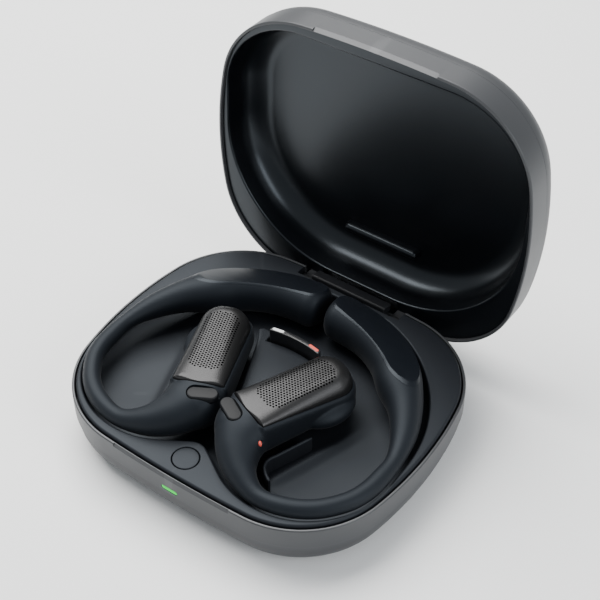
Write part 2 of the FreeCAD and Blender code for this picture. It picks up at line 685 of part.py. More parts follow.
# ---------------------------------------------------------------- right earphone; the left is its mirror image
HEAD_INNER = -6.2
HEAD_OUTER = 6.8
HEAD_BASE = -3.8
HEAD_TIP = 22.3
TIP_ROUND = 6.0
PLATE_BASE = -3.4
PLATE_INSET = 0.75
LOBE_SPOT = (2.6, 14.8)
LOBE_RADIUS = 6.4
LOBE_BOTTOM = 12.1
LOBE_TOP = 17.6
LOBE_ROUND = 2.4
HOOK_BEND = (18.3, -11.0)
HOOK_BEND_RADIUS = 17.85
POD_BEND = (5.47, -2.9)
POD_BEND_RADIUS = 25.8
POD_START = 38.0
POD_END_X = 1.0
KEY_SPOT = (3.75, -18.12)
KEY_TURN = -29.0


def head_outline(sketch, inset, base):
    """Outline of the head: square at the neck, rounded at the tip."""
    low, high = HEAD_INNER + inset, HEAD_OUTER - inset
    tip, radius = HEAD_TIP - inset, TIP_ROUND - inset
    line(sketch, (low, base), (high, base))
    line(sketch, (high, base), (high, tip - radius))
    arc(sketch, (high - radius, tip - radius), radius, 0, 90)
    line(sketch, (high - radius, tip), (low + radius, tip))
    arc(sketch, (low + radius, tip - radius), radius, 90, 180)
    line(sketch, (low, tip - radius), (low, base))


def not_at(base):
    """Edge test: leave out the edge along the head's base."""
    return lambda edge: not (abs(edge.BoundBox.YMin - base) < 1e-4 and abs(edge.BoundBox.YMax - base) < 1e-4)


def head_slab(name, inset, base, bottom, height, height_rounded=None, radius=None):
    """Slab with the head's outline. One level edge loop may be rounded. Left in the head's own frame."""
    body = new_body(name)
    sketch = new_sketch(body, name + "_sketch", bottom)
    head_outline(sketch, inset, base)
    solid = pad(body, sketch, height)
    if radius:
        round_edges(body, solid, height_rounded, radius, not_at(base))
    return body


def in_head(obj):
    """Move a finished body from the head's own frame to its place."""
    obj.Placement = HEAD_FRAME
    return obj


def make_head():
    depth = dim("head_rim") - dim("head_bottom")
    blank = in_head(head_slab("head_blank", 0.0, HEAD_BASE, dim("head_bottom"), depth, dim("head_bottom"), 3.4))
    lobe = new_body("ear_lobe")
    lobe_sketch = new_sketch(lobe, "lobe_sketch", LOBE_BOTTOM)
    lobe_circle = Part.Circle(Vector(*LOBE_SPOT, 0), Vector(0, 0, 1), LOBE_RADIUS)
    lobe_sketch.addGeometry(lobe_circle, False)
    lobe_pad = pad(lobe, lobe_sketch, LOBE_TOP - LOBE_BOTTOM)
    lobe_foot = round_edges(lobe, lobe_pad, LOBE_BOTTOM, LOBE_ROUND)
    round_edges(lobe, lobe_foot, LOBE_TOP, LOBE_ROUND)
    in_head(lobe)
    floor = dim("head_bottom") + dim("shell_wall")
    cavity = in_head(head_slab("head_cavity", dim("shell_wall"), HEAD_BASE + 1.0, floor, 12.0, floor, 2.2))
    ledge = in_head(head_slab("head_ledge", PLATE_INSET - 0.05, PLATE_BASE, dim("head_rim") - 0.8, 3.0))
    contacts = []
    for i, (v, u) in enumerate(CONTACT_SPOTS):
        spot = head_point(v, u)
        contacts.append(rod("contact%d" % i, 0.8, 0.4, (spot.x, spot.y, "dims.head_bottom")))
    both_sides("charge_contacts", group("contact_group", *contacts))
    both_sides("head_shell", cut("head_cut", fuse("head_whole", blank, lobe), cavity, ledge, *contacts))

    foot = dim("head_rim") - 0.8
    rise = dim("head_top") - foot
    thick = dim("plate_thick")
    plate = in_head(head_slab("plate_blank", PLATE_INSET, PLATE_BASE, foot, rise, dim("head_top"), 3.0))
    under = in_head(head_slab("plate_hollow", PLATE_INSET + thick, PLATE_BASE + thick, foot - 1.0,
                              rise + 1.0 - thick, dim("head_top") - thick, 2.5))
    both_sides("grille_plate", cut("plate_cut", plate, under))
    both_sides("acoustic_mesh", in_head(head_slab("mesh_sheet", 2.3, -2.0, 21.1, 0.2)))

    driver_spot = head_point(0.3, 13.0)
    both_sides("speaker_driver", rod("driver_can", 4.4, 3.8, (driver_spot.x, driver_spot.y, 14.2)))
    board_corner = head_point(-3.2, -2.4)
    turn = Rotation(Vector(0, 0, 1), HEAD_TURN)
    both_sides("head_board", block("head_board_blank", (7.0, 9.0, 0.8), (board_corner.x, board_corner.y, 15.0), turn))
    mic_corner = head_point(-1.3, -2.0)
    both_sides("microphone", block("mic_can", (2.6, 1.8, 1.0), (mic_corner.x, mic_corner.y, 15.8), turn))


def make_neck():
    base = head_point(0.2, HEAD_BASE, 17.2)
    toward_neck = head_point(0.2, HEAD_BASE - 1.0, 17.2) - base
    thin = dim("hook_radius")
    sections = [
        (tuple(base), tuple(toward_neck), 6.2, 5.2),
        ((7.5, -19.8, 16.9), (0.1, -1.0, 0.0), 5.6, 4.9),
        ((9.4, -23.4, 16.0), (0.55, -0.835, 0.0), 4.4, 4.3),
        ((12.9, -26.8, 15.1), (0.8, -0.6, 0.0), 3.1, 3.2),
        ((HOOK_BEND[0], HOOK_BEND[1] - HOOK_BEND_RADIUS, dim("hook_z")), (1.0, 0.0, 0.0), thin, thin),
    ]
    blank = loft("neck_loft", sections)
    key = pill("key_cap", 6.8, 3.2, 1.2, (KEY_SPOT[0], KEY_SPOT[1], 20.7), KEY_TURN)
    seat = pill("key_seat", 7.1, 3.5, 4.0, (KEY_SPOT[0], KEY_SPOT[1], 20.35), KEY_TURN)
    switch = block("key_switch_box", (2.4, 2.4, 1.1), (KEY_SPOT[0] - 1.2, KEY_SPOT[1] - 1.2, 19.25))
    mark = rod("mark_rod", 0.45, 0.9, (12.0, -19.85, 18.0), (0.93, -0.2, 0.3))
    both_sides("function_key", key)
    both_sides("key_switch", switch)
    both_sides("side_mark", mark)
    both_sides("neck_sleeve", cut("neck_cut", blank, seat, switch, mark))


def make_hook():
    centre = (HOOK_BEND[0], HOOK_BEND[1], "dims.hook_z")
    bend = ring("hook_bend", HOOK_BEND_RADIUS, "dims.hook_radius", centre, -90.0, 90.0)
    wire = ring("wire_bend", HOOK_BEND_RADIUS, "dims.wire_radius", centre, -90.0, 90.0)
    side = HOOK_BEND[0] + HOOK_BEND_RADIUS
    thin = dim("hook_radius")
    sections = [((side, HOOK_BEND[1], dim("hook_z")), (0.0, 1.0, 0.0), thin, thin)]
    # the arm thickens along a bend about the centre of the recess' rear lobe
    for angle, reach, radius, height in ((0.0, 33.2, 1.95, 14.6), (12.0, 31.9, 2.9, 14.8), (25.0, 30.5, 3.9, 15.0)):
        turn = math.radians(angle)
        spot = (REAR_CENTRE[0] + reach * math.cos(turn), REAR_CENTRE[1] + reach * math.sin(turn), height)
        sections.append((spot, (-math.sin(turn), math.cos(turn), 0.0), radius, radius))
    turn = math.radians(POD_START)
    start = (POD_BEND[0] + POD_BEND_RADIUS * math.cos(turn), POD_BEND[1] + POD_BEND_RADIUS * math.sin(turn), dim("pod_z"))
    sections.append((start, (-math.sin(turn), math.cos(turn), 0.0), dim("pod_radius"), dim("pod_radius")))
    taper = loft("hook_taper", sections)
    both_sides("hook_wire", wire)
    both_sides("hook_sleeve", cut("hook_cut", fuse("hook_whole", bend, taper), wire))


def make_pod():
    bend_centre = (POD_BEND[0], POD_BEND[1], "dims.pod_z")
    bend = ring("pod_bend", POD_BEND_RADIUS, "dims.pod_radius", bend_centre, POD_START, 90.0 - POD_START)
    start = (POD_BEND[0], POD_BEND[1] + POD_BEND_RADIUS, "dims.pod_z")
    barrel = rod("pod_barrel", "dims.pod_radius", POD_BEND[0] - POD_END_X, start, (-1, 0, 0))
    doc.recompute()
    end = doc.addObject("Part::Fillet", "pod_end")
    end.Base = barrel
    rims = [i for i, e in enumerate(barrel.Shape.Edges, start=1) if e.BoundBox.XMax < POD_END_X + 0.01]
    end.Edges = [(i, 2.4, 2.4) for i in rims]
    blank = fuse("pod_blank", bend, end)

    # the cap lies on a flat facet that falls to the rear; its front edge is a straight chord
    fall = math.atan(0.35)
    chord = Vector(0.94, -0.3412, -0.03).normalize()
    across = Vector(-chord.y * math.cos(fall), chord.x * math.cos(fall), -math.sin(fall)).normalize()
    facet = Placement(Vector(3.8, 22.3, 19.9), Rotation(chord, across, chord.cross(across), "XYZ"))
    above = doc.addObject("Part::Box", "facet_above")
    slab = doc.addObject("Part::Box", "facet_slab")
    for box, height, low in ((above, 8.0, 0.0), (slab, 0.8, -0.8)):
        box.Length = 60.0
        box.Width = 24.0
        box.Height = height
        box.Placement = facet * Placement(Vector(-15.0, -8.0, low), Rotation())
    outer = cut("pod_outer", blank, above)
    cell_line = (14.8, -1.65, 0.0)
    cell = rod("cell_can", 2.9, 13.8, (3.2, 22.7, 14.0), cell_line)
    room = rod("cell_room", 3.0, 14.4, (2.9, 22.7, 14.0), cell_line)
    both_sides("battery_cell", cell)
    both_sides("pod_cap", common("pod_cap_cut", outer, slab))
    both_sides("pod_shell", cut("pod_shell_cut", outer, slab, room))


# ---------------------------------------------------------------- build, test and write
make_pan()
make_band()
make_tray()
make_strip()
make_button()
make_base_inside()
make_hinge()
make_lid_band()
make_lid_cover()
make_lid_liner()
make_lid_inside()
make_head()
make_neck()
make_hook()
make_pod()
doc.recompute()

for obj in doc.Objects:
    if "Invalid" in obj.State or "Error" in obj.State:
        raise RuntimeError("%s failed: %s" % (obj.Name, obj.State))
for name, obj in nodes.items():
    if obj.Shape.isNull() or not obj.Shape.isValid() or obj.Shape.Volume <= 0:
        raise RuntimeError(name + " has no valid solid")

os.makedirs("parts", exist_ok=True)
for name, obj in nodes.items():
    obj.Shape.exportStep("parts/%s.step" % name)
    print("%-22s %8.1f mm3, %d solid(s)" % (name, obj.Shape.Volume, len(obj.Shape.Solids)))
print(len(nodes), "pieces")
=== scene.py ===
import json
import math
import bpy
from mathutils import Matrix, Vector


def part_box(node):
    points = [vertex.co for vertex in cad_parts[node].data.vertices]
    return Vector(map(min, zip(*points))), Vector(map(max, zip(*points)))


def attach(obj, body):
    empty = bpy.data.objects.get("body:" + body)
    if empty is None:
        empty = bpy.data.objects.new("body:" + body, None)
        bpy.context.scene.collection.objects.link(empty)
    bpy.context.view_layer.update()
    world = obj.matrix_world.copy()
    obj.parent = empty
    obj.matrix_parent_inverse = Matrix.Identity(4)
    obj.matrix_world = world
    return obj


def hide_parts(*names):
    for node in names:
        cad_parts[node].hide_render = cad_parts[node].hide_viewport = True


bl_info = {
    "name": "Hook earphones in a charging case",
    "version": (1, 0, 0),
    "blender": (4, 5, 0),
    "location": "3D Viewport > Sidebar > Earphones",
    "description": "Builds the finished look of two ear-hook earphones lying in their open charging case",
    "category": "Object",
}

import bmesh
import bpy
import numpy as np
from bpy.props import FloatProperty, FloatVectorProperty, IntProperty, PointerProperty
from mathutils import Matrix, Vector

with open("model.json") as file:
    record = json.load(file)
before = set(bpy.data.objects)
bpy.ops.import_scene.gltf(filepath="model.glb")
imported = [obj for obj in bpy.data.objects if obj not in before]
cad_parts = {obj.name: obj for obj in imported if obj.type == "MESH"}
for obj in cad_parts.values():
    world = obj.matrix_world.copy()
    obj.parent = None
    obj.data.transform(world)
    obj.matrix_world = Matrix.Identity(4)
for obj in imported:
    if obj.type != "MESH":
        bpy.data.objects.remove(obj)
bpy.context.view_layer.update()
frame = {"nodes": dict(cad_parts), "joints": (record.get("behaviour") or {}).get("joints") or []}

MM = 0.001
COOL = (0.80, 0.90, 1.0)
UP = np.array([0.0, 0.0, 1.0])


def mm(value):
    """Metres to millimetres, in which the shapes below are worked out."""
    return value / MM


def joint(name):
    """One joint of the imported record."""
    return next(j for j in frame["joints"] if j["name"] == name)


# ------------------------------------------------------- sizes from the frame and five given ones, in millimetres
BAND_LOW, BAND_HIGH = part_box("base_band")
HALF_WIDTH = mm(BAND_HIGH.x)
HALF_DEPTH = mm(BAND_HIGH.y)
PAN_TOP = mm(BAND_LOW.z)
BAND_TOP = mm(BAND_HIGH.z)
DECK_TOP = mm(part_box("tray")[1].z)
TUB_BOTTOM = mm(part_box("tray")[0].z)
BUTTON_LOW, BUTTON_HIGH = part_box("case_button")
BUTTON_Y = mm((BUTTON_LOW.y + BUTTON_HIGH.y) / 2)
LIGHT_LOW, LIGHT_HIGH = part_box("led_light_pipe")
STRIP_LOW, STRIP_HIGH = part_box("side_strip")
COVER_HALF = mm(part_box("hinge_cover")[1].x)
HINGE_Y, HINGE_Z = (mm(v) for v in joint("lid_hinge")["pos_m"][1:])
OPEN_TURN = math.radians(joint("lid_hinge")["range_deg"][1])
NOTCH_HALF = 14.2
NOTCH_REAR = 38.0
NOTCH_TOP = 20.0
ARM_ROOM = 5.2
ARM_ROOM_HALF = 10.5

# ---------------------------------------------------------------- outline of the case
FRONT_BOW = 325.0
SIDE_BOW = 85.0
CORNER_ROUND = 22.9


def arc_points(centre, radius, start, end, steps):
    """Points along an arc in degrees, without its last point."""
    turn = np.radians(np.linspace(start, end, steps + 1))[:-1]
    return np.c_[centre[0] + radius * np.cos(turn), centre[1] + radius * np.sin(turn)]


def line_points(first, last, steps):
    """Points along a straight line, without its last point."""
    share = np.linspace(0.0, 1.0, steps + 1)[:-1, None]
    return np.array(first) * (1 - share) + np.array(last) * share


def corner_centre():
    """Centre of the case's corner arc, and the angles where the corner meets its two bows."""
    front = HALF_DEPTH - FRONT_BOW
    side = HALF_WIDTH - SIDE_BOW
    reach_front = FRONT_BOW - CORNER_ROUND
    reach_side = SIDE_BOW - CORNER_ROUND
    span = math.hypot(side, front)
    along = (reach_front**2 - reach_side**2 + span**2) / (2 * span)
    off = math.sqrt(reach_front**2 - along**2)
    x = side / span * along - front / span * off
    y = front - front / span * along - side / span * off
    bow = math.degrees(math.atan2(x, y - front))
    flank = math.degrees(math.atan2(y, x - side))
    return x, y, bow, flank


CORNER_X, CORNER_Y, BOW_ANGLE, FLANK_ANGLE = corner_centre()


def case_loop(inset, steps=44):
    """Outline of the case set in by a distance, counter-clockwise."""
    front, side, corner = FRONT_BOW - inset, SIDE_BOW - inset, CORNER_ROUND - inset
    y0, x0 = HALF_DEPTH - FRONT_BOW, HALF_WIDTH - SIDE_BOW
    x, y, bow, flank = CORNER_X, CORNER_Y, BOW_ANGLE, FLANK_ANGLE
    return np.vstack([
        arc_points((x0, 0), side, -flank, flank, steps),
        arc_points((x, y), corner, flank, 90 - bow, steps),
        arc_points((0, y0), front, 90 - bow, 90 + bow, steps),
        arc_points((-x, y), corner, 90 + bow, 180 - flank, steps),
        arc_points((-x0, 0), side, 180 - flank, 180 + flank, steps),
        arc_points((-x, -y), corner, 180 + flank, 270 - bow, steps),
        arc_points((0, -y0), front, 270 - bow, 270 + bow, steps),
        arc_points((x, -y), corner, 270 + bow, 360 - flank, steps),
    ])


# ---------------------------------------- outlines of the recess and of the lid's bowl
RECESS_SIDE = 38.4
REAR_SPOT = (2.8, -5.0)
REAR_LINE = 29.3
FRONT_SPOT = (18.3, -11.0)
BOWL_SIDE = 38.4
BOWL_REAR = (8.0, -1.8)
NOSE_SLOPE = 31.0
NOSE_ROUND = 4.0


def mirrored(points):
    """The left half that goes with a right half, so that both make one counter-clockwise loop."""
    left = points[::-1] * np.array([-1.0, 1.0])
    return np.vstack([points, left])


def recess_loop(grow):
    """Outline of the recess, grown outwards, counter-clockwise from the middle of its nose."""
    slope = math.radians(NOSE_SLOPE)
    rear = RECESS_SIDE - REAR_SPOT[0] + grow
    front = RECESS_SIDE - FRONT_SPOT[0] + grow
    nose = NOSE_ROUND - grow
    leave = (FRONT_SPOT[0] - front * math.sin(slope), FRONT_SPOT[1] - front * math.cos(slope))
    touch_x = nose * math.sin(slope)
    touch = (touch_x, leave[1] + (leave[0] - touch_x) * math.tan(slope))
    middle = (0.0, touch[1] - nose * math.cos(slope))
    side, top = REAR_SPOT[0] + rear, REAR_LINE + grow
    rear_end = math.asin((top - REAR_SPOT[1]) / rear)
    corner = REAR_SPOT[0] + rear * math.cos(rear_end)
    right = np.vstack([
        arc_points(middle, nose, 90, 90 - NOSE_SLOPE, 40)[1:],
        line_points(touch, leave, 60),
        arc_points(FRONT_SPOT, front, -90 - NOSE_SLOPE, 0, 400),
        line_points((side, FRONT_SPOT[1]), (side, REAR_SPOT[1]), 60),
        arc_points(REAR_SPOT, rear, 0, math.degrees(rear_end), 300),
        line_points((corner, top), (0.05, top), 60),
    ])
    return mirrored(right)


def bowl_loop(grow):
    """Outline of the lid's bowl: a rounded rectangle with wider corners at the rear."""
    rear = BOWL_SIDE - BOWL_REAR[0] + grow
    front = BOWL_SIDE - FRONT_SPOT[0] + grow
    side, top = BOWL_SIDE + grow, BOWL_REAR[1] + rear
    bottom = FRONT_SPOT[1] - front
    right = np.vstack([
        line_points((0.05, bottom), (FRONT_SPOT[0], bottom), 90),
        arc_points(FRONT_SPOT, front, -90, 0, 300),
        line_points((side, FRONT_SPOT[1]), (side, BOWL_REAR[1]), 60),
        arc_points(BOWL_REAR, rear, 0, 90, 300),
        line_points((BOWL_REAR[0], top), (0.05, top), 60),
    ])
    return mirrored(right)


RAYS = np.linspace(-math.pi, math.pi, 640, endpoint=False)


def on_rays(loop, scale=1.0):
    """The outline resampled along evenly turned rays, so that unlike outlines can be joined."""
    turn = np.arctan2(loop[:, 1], loop[:, 0])
    order = np.argsort(turn)
    far = np.interp(RAYS, turn[order], np.hypot(loop[:, 0], loop[:, 1])[order], period=2 * math.pi)
    return np.c_[np.cos(RAYS), np.sin(RAYS)] * (far * scale)[:, None]


def level(loop, z):
    """A flat outline lifted to a height. The height may be one number or one for each point."""
    return np.c_[loop, np.full(len(loop), z) if np.isscalar(z) else z]


def on_rays_centre(loop, z):
    """A small copy of an outline, as the first ring round a pole."""
    return level(on_rays(loop, 0.02), z)


def rounding(radius, steps=5):
    """Inset and drop of points round an outer edge, from the side to the top."""
    turn = np.linspace(0.0, math.pi / 2, steps + 1)
    return [(radius * (1 - math.cos(t)), radius * (1 - math.sin(t))) for t in turn]


# ---------------------------------------------------------------- mesh making
def skin(loops, ends="cap"):
    """Points and faces of a surface through equal loops. ends: cap, pole, or join for a closed ring."""
    count = len(loops[0])
    points = np.vstack(loops)
    faces = []
    spans = len(loops) if ends == "join" else len(loops) - 1
    for i in range(spans):
        a, b = i * count, (i + 1) % len(loops) * count
        faces += [(a + j, a + (j + 1) % count, b + (j + 1) % count, b + j) for j in range(count)]
    last = (len(loops) - 1) * count
    if ends == "cap":
        faces.append(tuple(range(count))[::-1])
        faces.append(tuple(range(last, last + count)))
    if ends == "pole":
        points = np.vstack([points, loops[0].mean(0), loops[-1].mean(0)])
        low, high = len(points) - 2, len(points) - 1
        faces += [((j + 1) % count, j, low) for j in range(count)]
        faces += [(last + j, last + (j + 1) % count, high) for j in range(count)]
    return points, faces


def form(name, *parts):
    """Object from one or more (points, faces) in millimetres, with faces turned outwards."""
    mesh = bpy.data.meshes.new(name)
    work = bmesh.new()
    for points, faces in parts:
        made = [work.verts.new(Vector(p) * MM) for p in np.asarray(points, float)]
        for face in faces:
            work.faces.new([made[i] for i in face])
    bmesh.ops.remove_doubles(work, verts=work.verts[:], dist=1e-7)
    bmesh.ops.recalc_face_normals(work, faces=work.faces[:])
    work.to_mesh(mesh)
    work.free()
    piece = bpy.data.objects.new(name, mesh)
    bpy.context.scene.collection.objects.link(piece)
    return piece


def bake(piece):
    """Replace a piece's mesh by what its modifiers make of it."""
    bpy.context.view_layer.update()
    evaluated = piece.evaluated_get(bpy.context.evaluated_depsgraph_get())
    mesh = bpy.data.meshes.new_from_object(evaluated)
    old = piece.data
    piece.modifiers.clear()
    piece.data = mesh
    mesh.name = piece.name
    bpy.data.meshes.remove(old)
    return piece


def drop(*tools):
    """Remove helper objects and their meshes."""
    for tool in tools:
        mesh = tool.data
        bpy.data.objects.remove(tool)
        bpy.data.meshes.remove(mesh)


def carve(piece, *tools, how="DIFFERENCE"):
    """Cut tools out of a piece, or join or intersect them, and remove the tools."""
    for tool in tools:
        step = piece.modifiers.new("carve", "BOOLEAN")
        step.solver = "EXACT"
        step.operation = how
        step.object = tool
    bake(piece)
    drop(*tools)
    return piece


def smooth(piece, sharp=32.0):
    """Smooth shading with edges sharper than an angle kept."""
    mesh = piece.data
    mesh.polygons.foreach_set("use_smooth", [True] * len(mesh.polygons))
    mesh.set_sharp_from_angle(angle=math.radians(sharp))
    mesh.update()
    return piece


def even_shading(piece, sharp):
    """Shading that follows a piece's large faces, so that cut faces leave no blotches beside them."""
    smooth(piece, sharp)
    weigh = piece.modifiers.new("weigh", "WEIGHTED_NORMAL")
    weigh.mode = "FACE_AREA_WITH_ANGLE"
    weigh.weight = 80
    weigh.keep_sharp = True
    return bake(piece)


def dress(piece, material, body, slot, *replaced, sharp=32.0, even=False):
    """Finish a piece: shading, material, the body it rides on and what it stands for. The slot argument is
    not used.
    """
    if even:
        even_shading(piece, sharp)
    else:
        smooth(piece, sharp)
    piece.data.materials.clear()
    piece.data.materials.append(material)
    piece.data.polygons.foreach_set("material_index", [0] * len(piece.data.polygons))
    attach(piece, body)
    if replaced:
        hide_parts(*replaced)
    return piece


def copy_mirrored(piece, name):
    """The left piece that mirrors a right one."""
    mesh = piece.data.copy()
    mesh.transform(Matrix.Diagonal((-1.0, 1.0, 1.0, 1.0)))
    mesh.flip_normals()
    mesh.name = name
    twin = bpy.data.objects.new(name, mesh)
    bpy.context.scene.collection.objects.link(twin)
    return twin


def opened(piece):
    """Turn a piece drawn on the closed lid back to the open stop."""
    axis = Vector((0, HINGE_Y, HINGE_Z)) * MM
    swing = Matrix.Translation(axis) @ Matrix.Rotation(-OPEN_TURN, 4, "X") @ Matrix.Translation(-axis)
    piece.data.transform(swing)
    return piece


# ---------------------------------------------------------------- simple solids
def circle_loop(centre, radius, steps=48):
    """Circle as an outline that can be grown."""
    return lambda grow: arc_points(centre, radius + grow, 0, 360, steps)


def pill_loop(centre, long_side, short_side, angle=0.0, steps=16):
    """Outline with two round ends that can be grown."""
    half = (long_side - short_side) / 2.0

    def outline(grow):
        radius = short_side / 2.0 + grow
        loop = np.vstack([
            arc_points((half, 0), radius, -90, 90, steps),
            [[half, radius]],
            arc_points((-half, 0), radius, 90, 270, steps),
            [[-half, -radius]],
        ])
        c, s = math.cos(math.radians(angle)), math.sin(math.radians(angle))
        return loop @ np.array([[c, s], [-s, c]]) + np.array(centre)

    return outline


def polygon_loop(corners, per_side=1):
    """Polygon whose sides are moved outwards when it is grown."""
    corners = np.array(corners, float)

    def outline(grow):
        moved = []
        for before, here, after in zip(np.roll(corners, 1, 0), corners, np.roll(corners, -1, 0)):
            a, b = here - before, after - here
            na = np.array([a[1], -a[0]]) / np.hypot(*a)
            nb = np.array([b[1], -b[0]]) / np.hypot(*b)
            moved.append(here + (na + nb) * grow / (1.0 + na @ nb))
        return np.array(moved)

    return outline


def tower(name, outline, levels):
    """Upright solid through (grow, height) levels of one outline."""
    return form(name, skin([level(outline(grow), z) for grow, z in levels]))


def bar(name, profile, half_length, chamfer=0.0):
    """Bar along X from a profile of (y, z) points, with its ends eased."""
    outline = polygon_loop(profile)
    spans = [
        (-chamfer, -half_length), (0.0, -half_length + chamfer), (0.0, half_length - chamfer),
        (-chamfer, half_length)
    ]
    loops = []
    for grow, x in spans:
        flat = outline(grow)
        loops.append(np.c_[np.full(len(flat), x), flat[:, 0], flat[:, 1]])
    return form(name, skin(loops))


def box_tool(low, high):
    """Block between two corners, used only to cut."""
    outline = polygon_loop([(low[0], low[1]), (high[0], low[1]), (high[0], high[1]), (low[0], high[1])])
    return tower("tool", outline, [(0, low[2]), (0, high[2])])


def axle_tool(radius, half_length):
    """Cylinder about the hinge axis, used only to cut."""
    ring = arc_points((HINGE_Y, HINGE_Z), radius, 0, 360, 64)
    loops = [np.c_[np.full(len(ring), x), ring] for x in (-half_length, half_length)]
    return form("tool", skin(loops))


def lying_pill(name, outline, y_levels, spot_z):
    """Solid with an upright outline (x, height) that lies along Y."""
    loops = []
    for grow, y in y_levels:
        flat = outline(grow)
        loops.append(np.c_[flat[:, 0], np.full(len(flat), y), flat[:, 1] + spot_z])
    return form(name, skin(loops))


# ---------------------------------------------------------------- materials
def node(tree, kind, **values):
    """New shader node with its inputs or properties set."""
    made = tree.nodes.new(kind)
    for key, value in values.items():
        if key in made.inputs:
            made.inputs[key].default_value = value
        else:
            setattr(made, key, value)
    return made


def finish(name, colour, rough, metal=0.0, grain=0.12, bump=0.06, mottle=0.06, patch=9.0, spread=0.06,
           sheen=0.0, coat=0.0, specular=0.5, streak=None, edge=0.0, tint_glance=(1.0, 1.0, 1.0)):
    """Procedural material. grain and patch are in millimetres, streak is in degrees about Z."""
    material = bpy.data.materials.get(name)
    if material:
        return material
    material = bpy.data.materials.new(name)
    material.use_nodes = True
    tree = material.node_tree
    shader = tree.nodes["Principled BSDF"]
    shader.inputs["Metallic"].default_value = metal
    shader.inputs["Specular IOR Level"].default_value = specular
    shader.inputs["Specular Tint"].default_value = (*tint_glance, 1.0)
    shader.inputs["Sheen Weight"].default_value = sheen
    shader.inputs["Sheen Roughness"].default_value = 0.45
    shader.inputs["Coat Weight"].default_value = coat
    shader.inputs["Coat Roughness"].default_value = 0.25
    place = node(tree, "ShaderNodeTexCoord")
    mapping = node(tree, "ShaderNodeMapping")
    tree.links.new(place.outputs["Object"], mapping.inputs["Vector"])
    if streak is not None:
        mapping.inputs["Rotation"].default_value = (0, 0, math.radians(streak))
        mapping.inputs["Scale"].default_value = (1.0, 0.04, 1.0)
    fine = node(tree, "ShaderNodeTexNoise", Scale=1.0 / (grain * MM), Detail=3.0, Roughness=0.6)
    broad = node(tree, "ShaderNodeTexNoise", Scale=1.0 / (patch * MM), Detail=2.0, Roughness=0.5)
    tree.links.new(mapping.outputs["Vector"], fine.inputs["Vector"])
    tree.links.new(place.outputs["Object"], broad.inputs["Vector"])
    dark = [c * (1.0 - mottle) for c in colour] + [1.0]
    light = [min(1.0, c * (1.0 + mottle)) for c in colour] + [1.0]
    tint = node(tree, "ShaderNodeMix", data_type="RGBA")
    tint.inputs[6].default_value = dark
    tint.inputs[7].default_value = light
    blend = node(tree, "ShaderNodeMath", operation="ADD")
    half = node(tree, "ShaderNodeMath", operation="MULTIPLY")
    half.inputs[1].default_value = 0.5
    tree.links.new(fine.outputs["Fac"], blend.inputs[0])
    tree.links.new(broad.outputs["Fac"], blend.inputs[1])
    tree.links.new(blend.outputs[0], half.inputs[0])
    tree.links.new(half.outputs[0], tint.inputs[0])
    colour_out = tint.outputs[2]
    if edge:
        worn = node(tree, "ShaderNodeNewGeometry")
        ramp = node(tree, "ShaderNodeMapRange")
        ramp.inputs["From Min"].default_value = 0.52
        ramp.inputs["From Max"].default_value = 0.62
        ramp.inputs["To Max"].default_value = edge
        tree.links.new(worn.outputs["Pointiness"], ramp.inputs["Value"])
        rub = node(tree, "ShaderNodeMix", data_type="RGBA")
        rub.inputs[7].default_value = [min(1.0, c * 1.8 + 0.02) for c in colour] + [1.0]
        tree.links.new(ramp.outputs["Result"], rub.inputs[0])
        tree.links.new(colour_out, rub.inputs[6])
        colour_out = rub.outputs[2]
    tree.links.new(colour_out, shader.inputs["Base Color"])
    gloss = node(tree, "ShaderNodeMapRange")
    gloss.inputs["To Min"].default_value = max(0.02, rough - spread)
    gloss.inputs["To Max"].default_value = min(1.0, rough + spread)
    tree.links.new(half.outputs[0], gloss.inputs["Value"])
    tree.links.new(gloss.outputs["Result"], shader.inputs["Roughness"])
    relief = node(tree, "ShaderNodeBump", Strength=bump, Distance=grain * MM * 0.5)
    tree.links.new(fine.outputs["Fac"], relief.inputs["Height"])
    tree.links.new(relief.outputs["Normal"], shader.inputs["Normal"])
    return material


def glowing(name, colour, strength):
    """Lit material for a translucent light, glowing evenly over a darker base."""
    material = finish(name, [c * 0.3 for c in colour], 0.4, specular=0.15, mottle=0.03, bump=0.02)
    tree = material.node_tree
    shader = tree.nodes["Principled BSDF"]
    shader.inputs["Emission Color"].default_value = list(colour) + [1.0]
    shader.inputs["Emission Strength"].default_value = strength
    return material


# ---------------------------------------------------------------- settings that a user may change
def colour_property(name, description, default):
    return FloatVectorProperty(
        name=name, description=description, default=default, subtype="COLOR", size=3, min=0.0, max=1.0
    )


def size_property(name, description, default):
    return FloatProperty(
        name=name, description=description, default=default, unit="LENGTH", subtype="DISTANCE", precision=5
    )


class CaseSettings(bpy.types.PropertyGroup):
    band_colour: colour_property("Band colour", "Satin paint of the two bands", (0.046, 0.048, 0.052))
    pan_colour: colour_property("Pan colour", "Paint of the pan and of the lid cover", (0.047, 0.049, 0.053))
    deck_colour: colour_property("Deck colour", "Matte moulding of the deck", (0.0065, 0.0072, 0.0095))
    liner_colour: colour_property("Liner colour", "Moulding inside the lid", (0.0016, 0.0019, 0.0028))
    light_colour: colour_property("Light colour", "Status light", (0.0, 0.85, 0.07))
    light_strength: FloatProperty(
        name="Light strength", description="Brightness of the status light", default=0.95
    )
    edge_round: size_property("Edge rounding", "Rounding along the edges of the bands", 0.35 * MM)
    groove: size_property("Parting groove", "Chamfer along the seam between pan and band", 0.22 * MM)


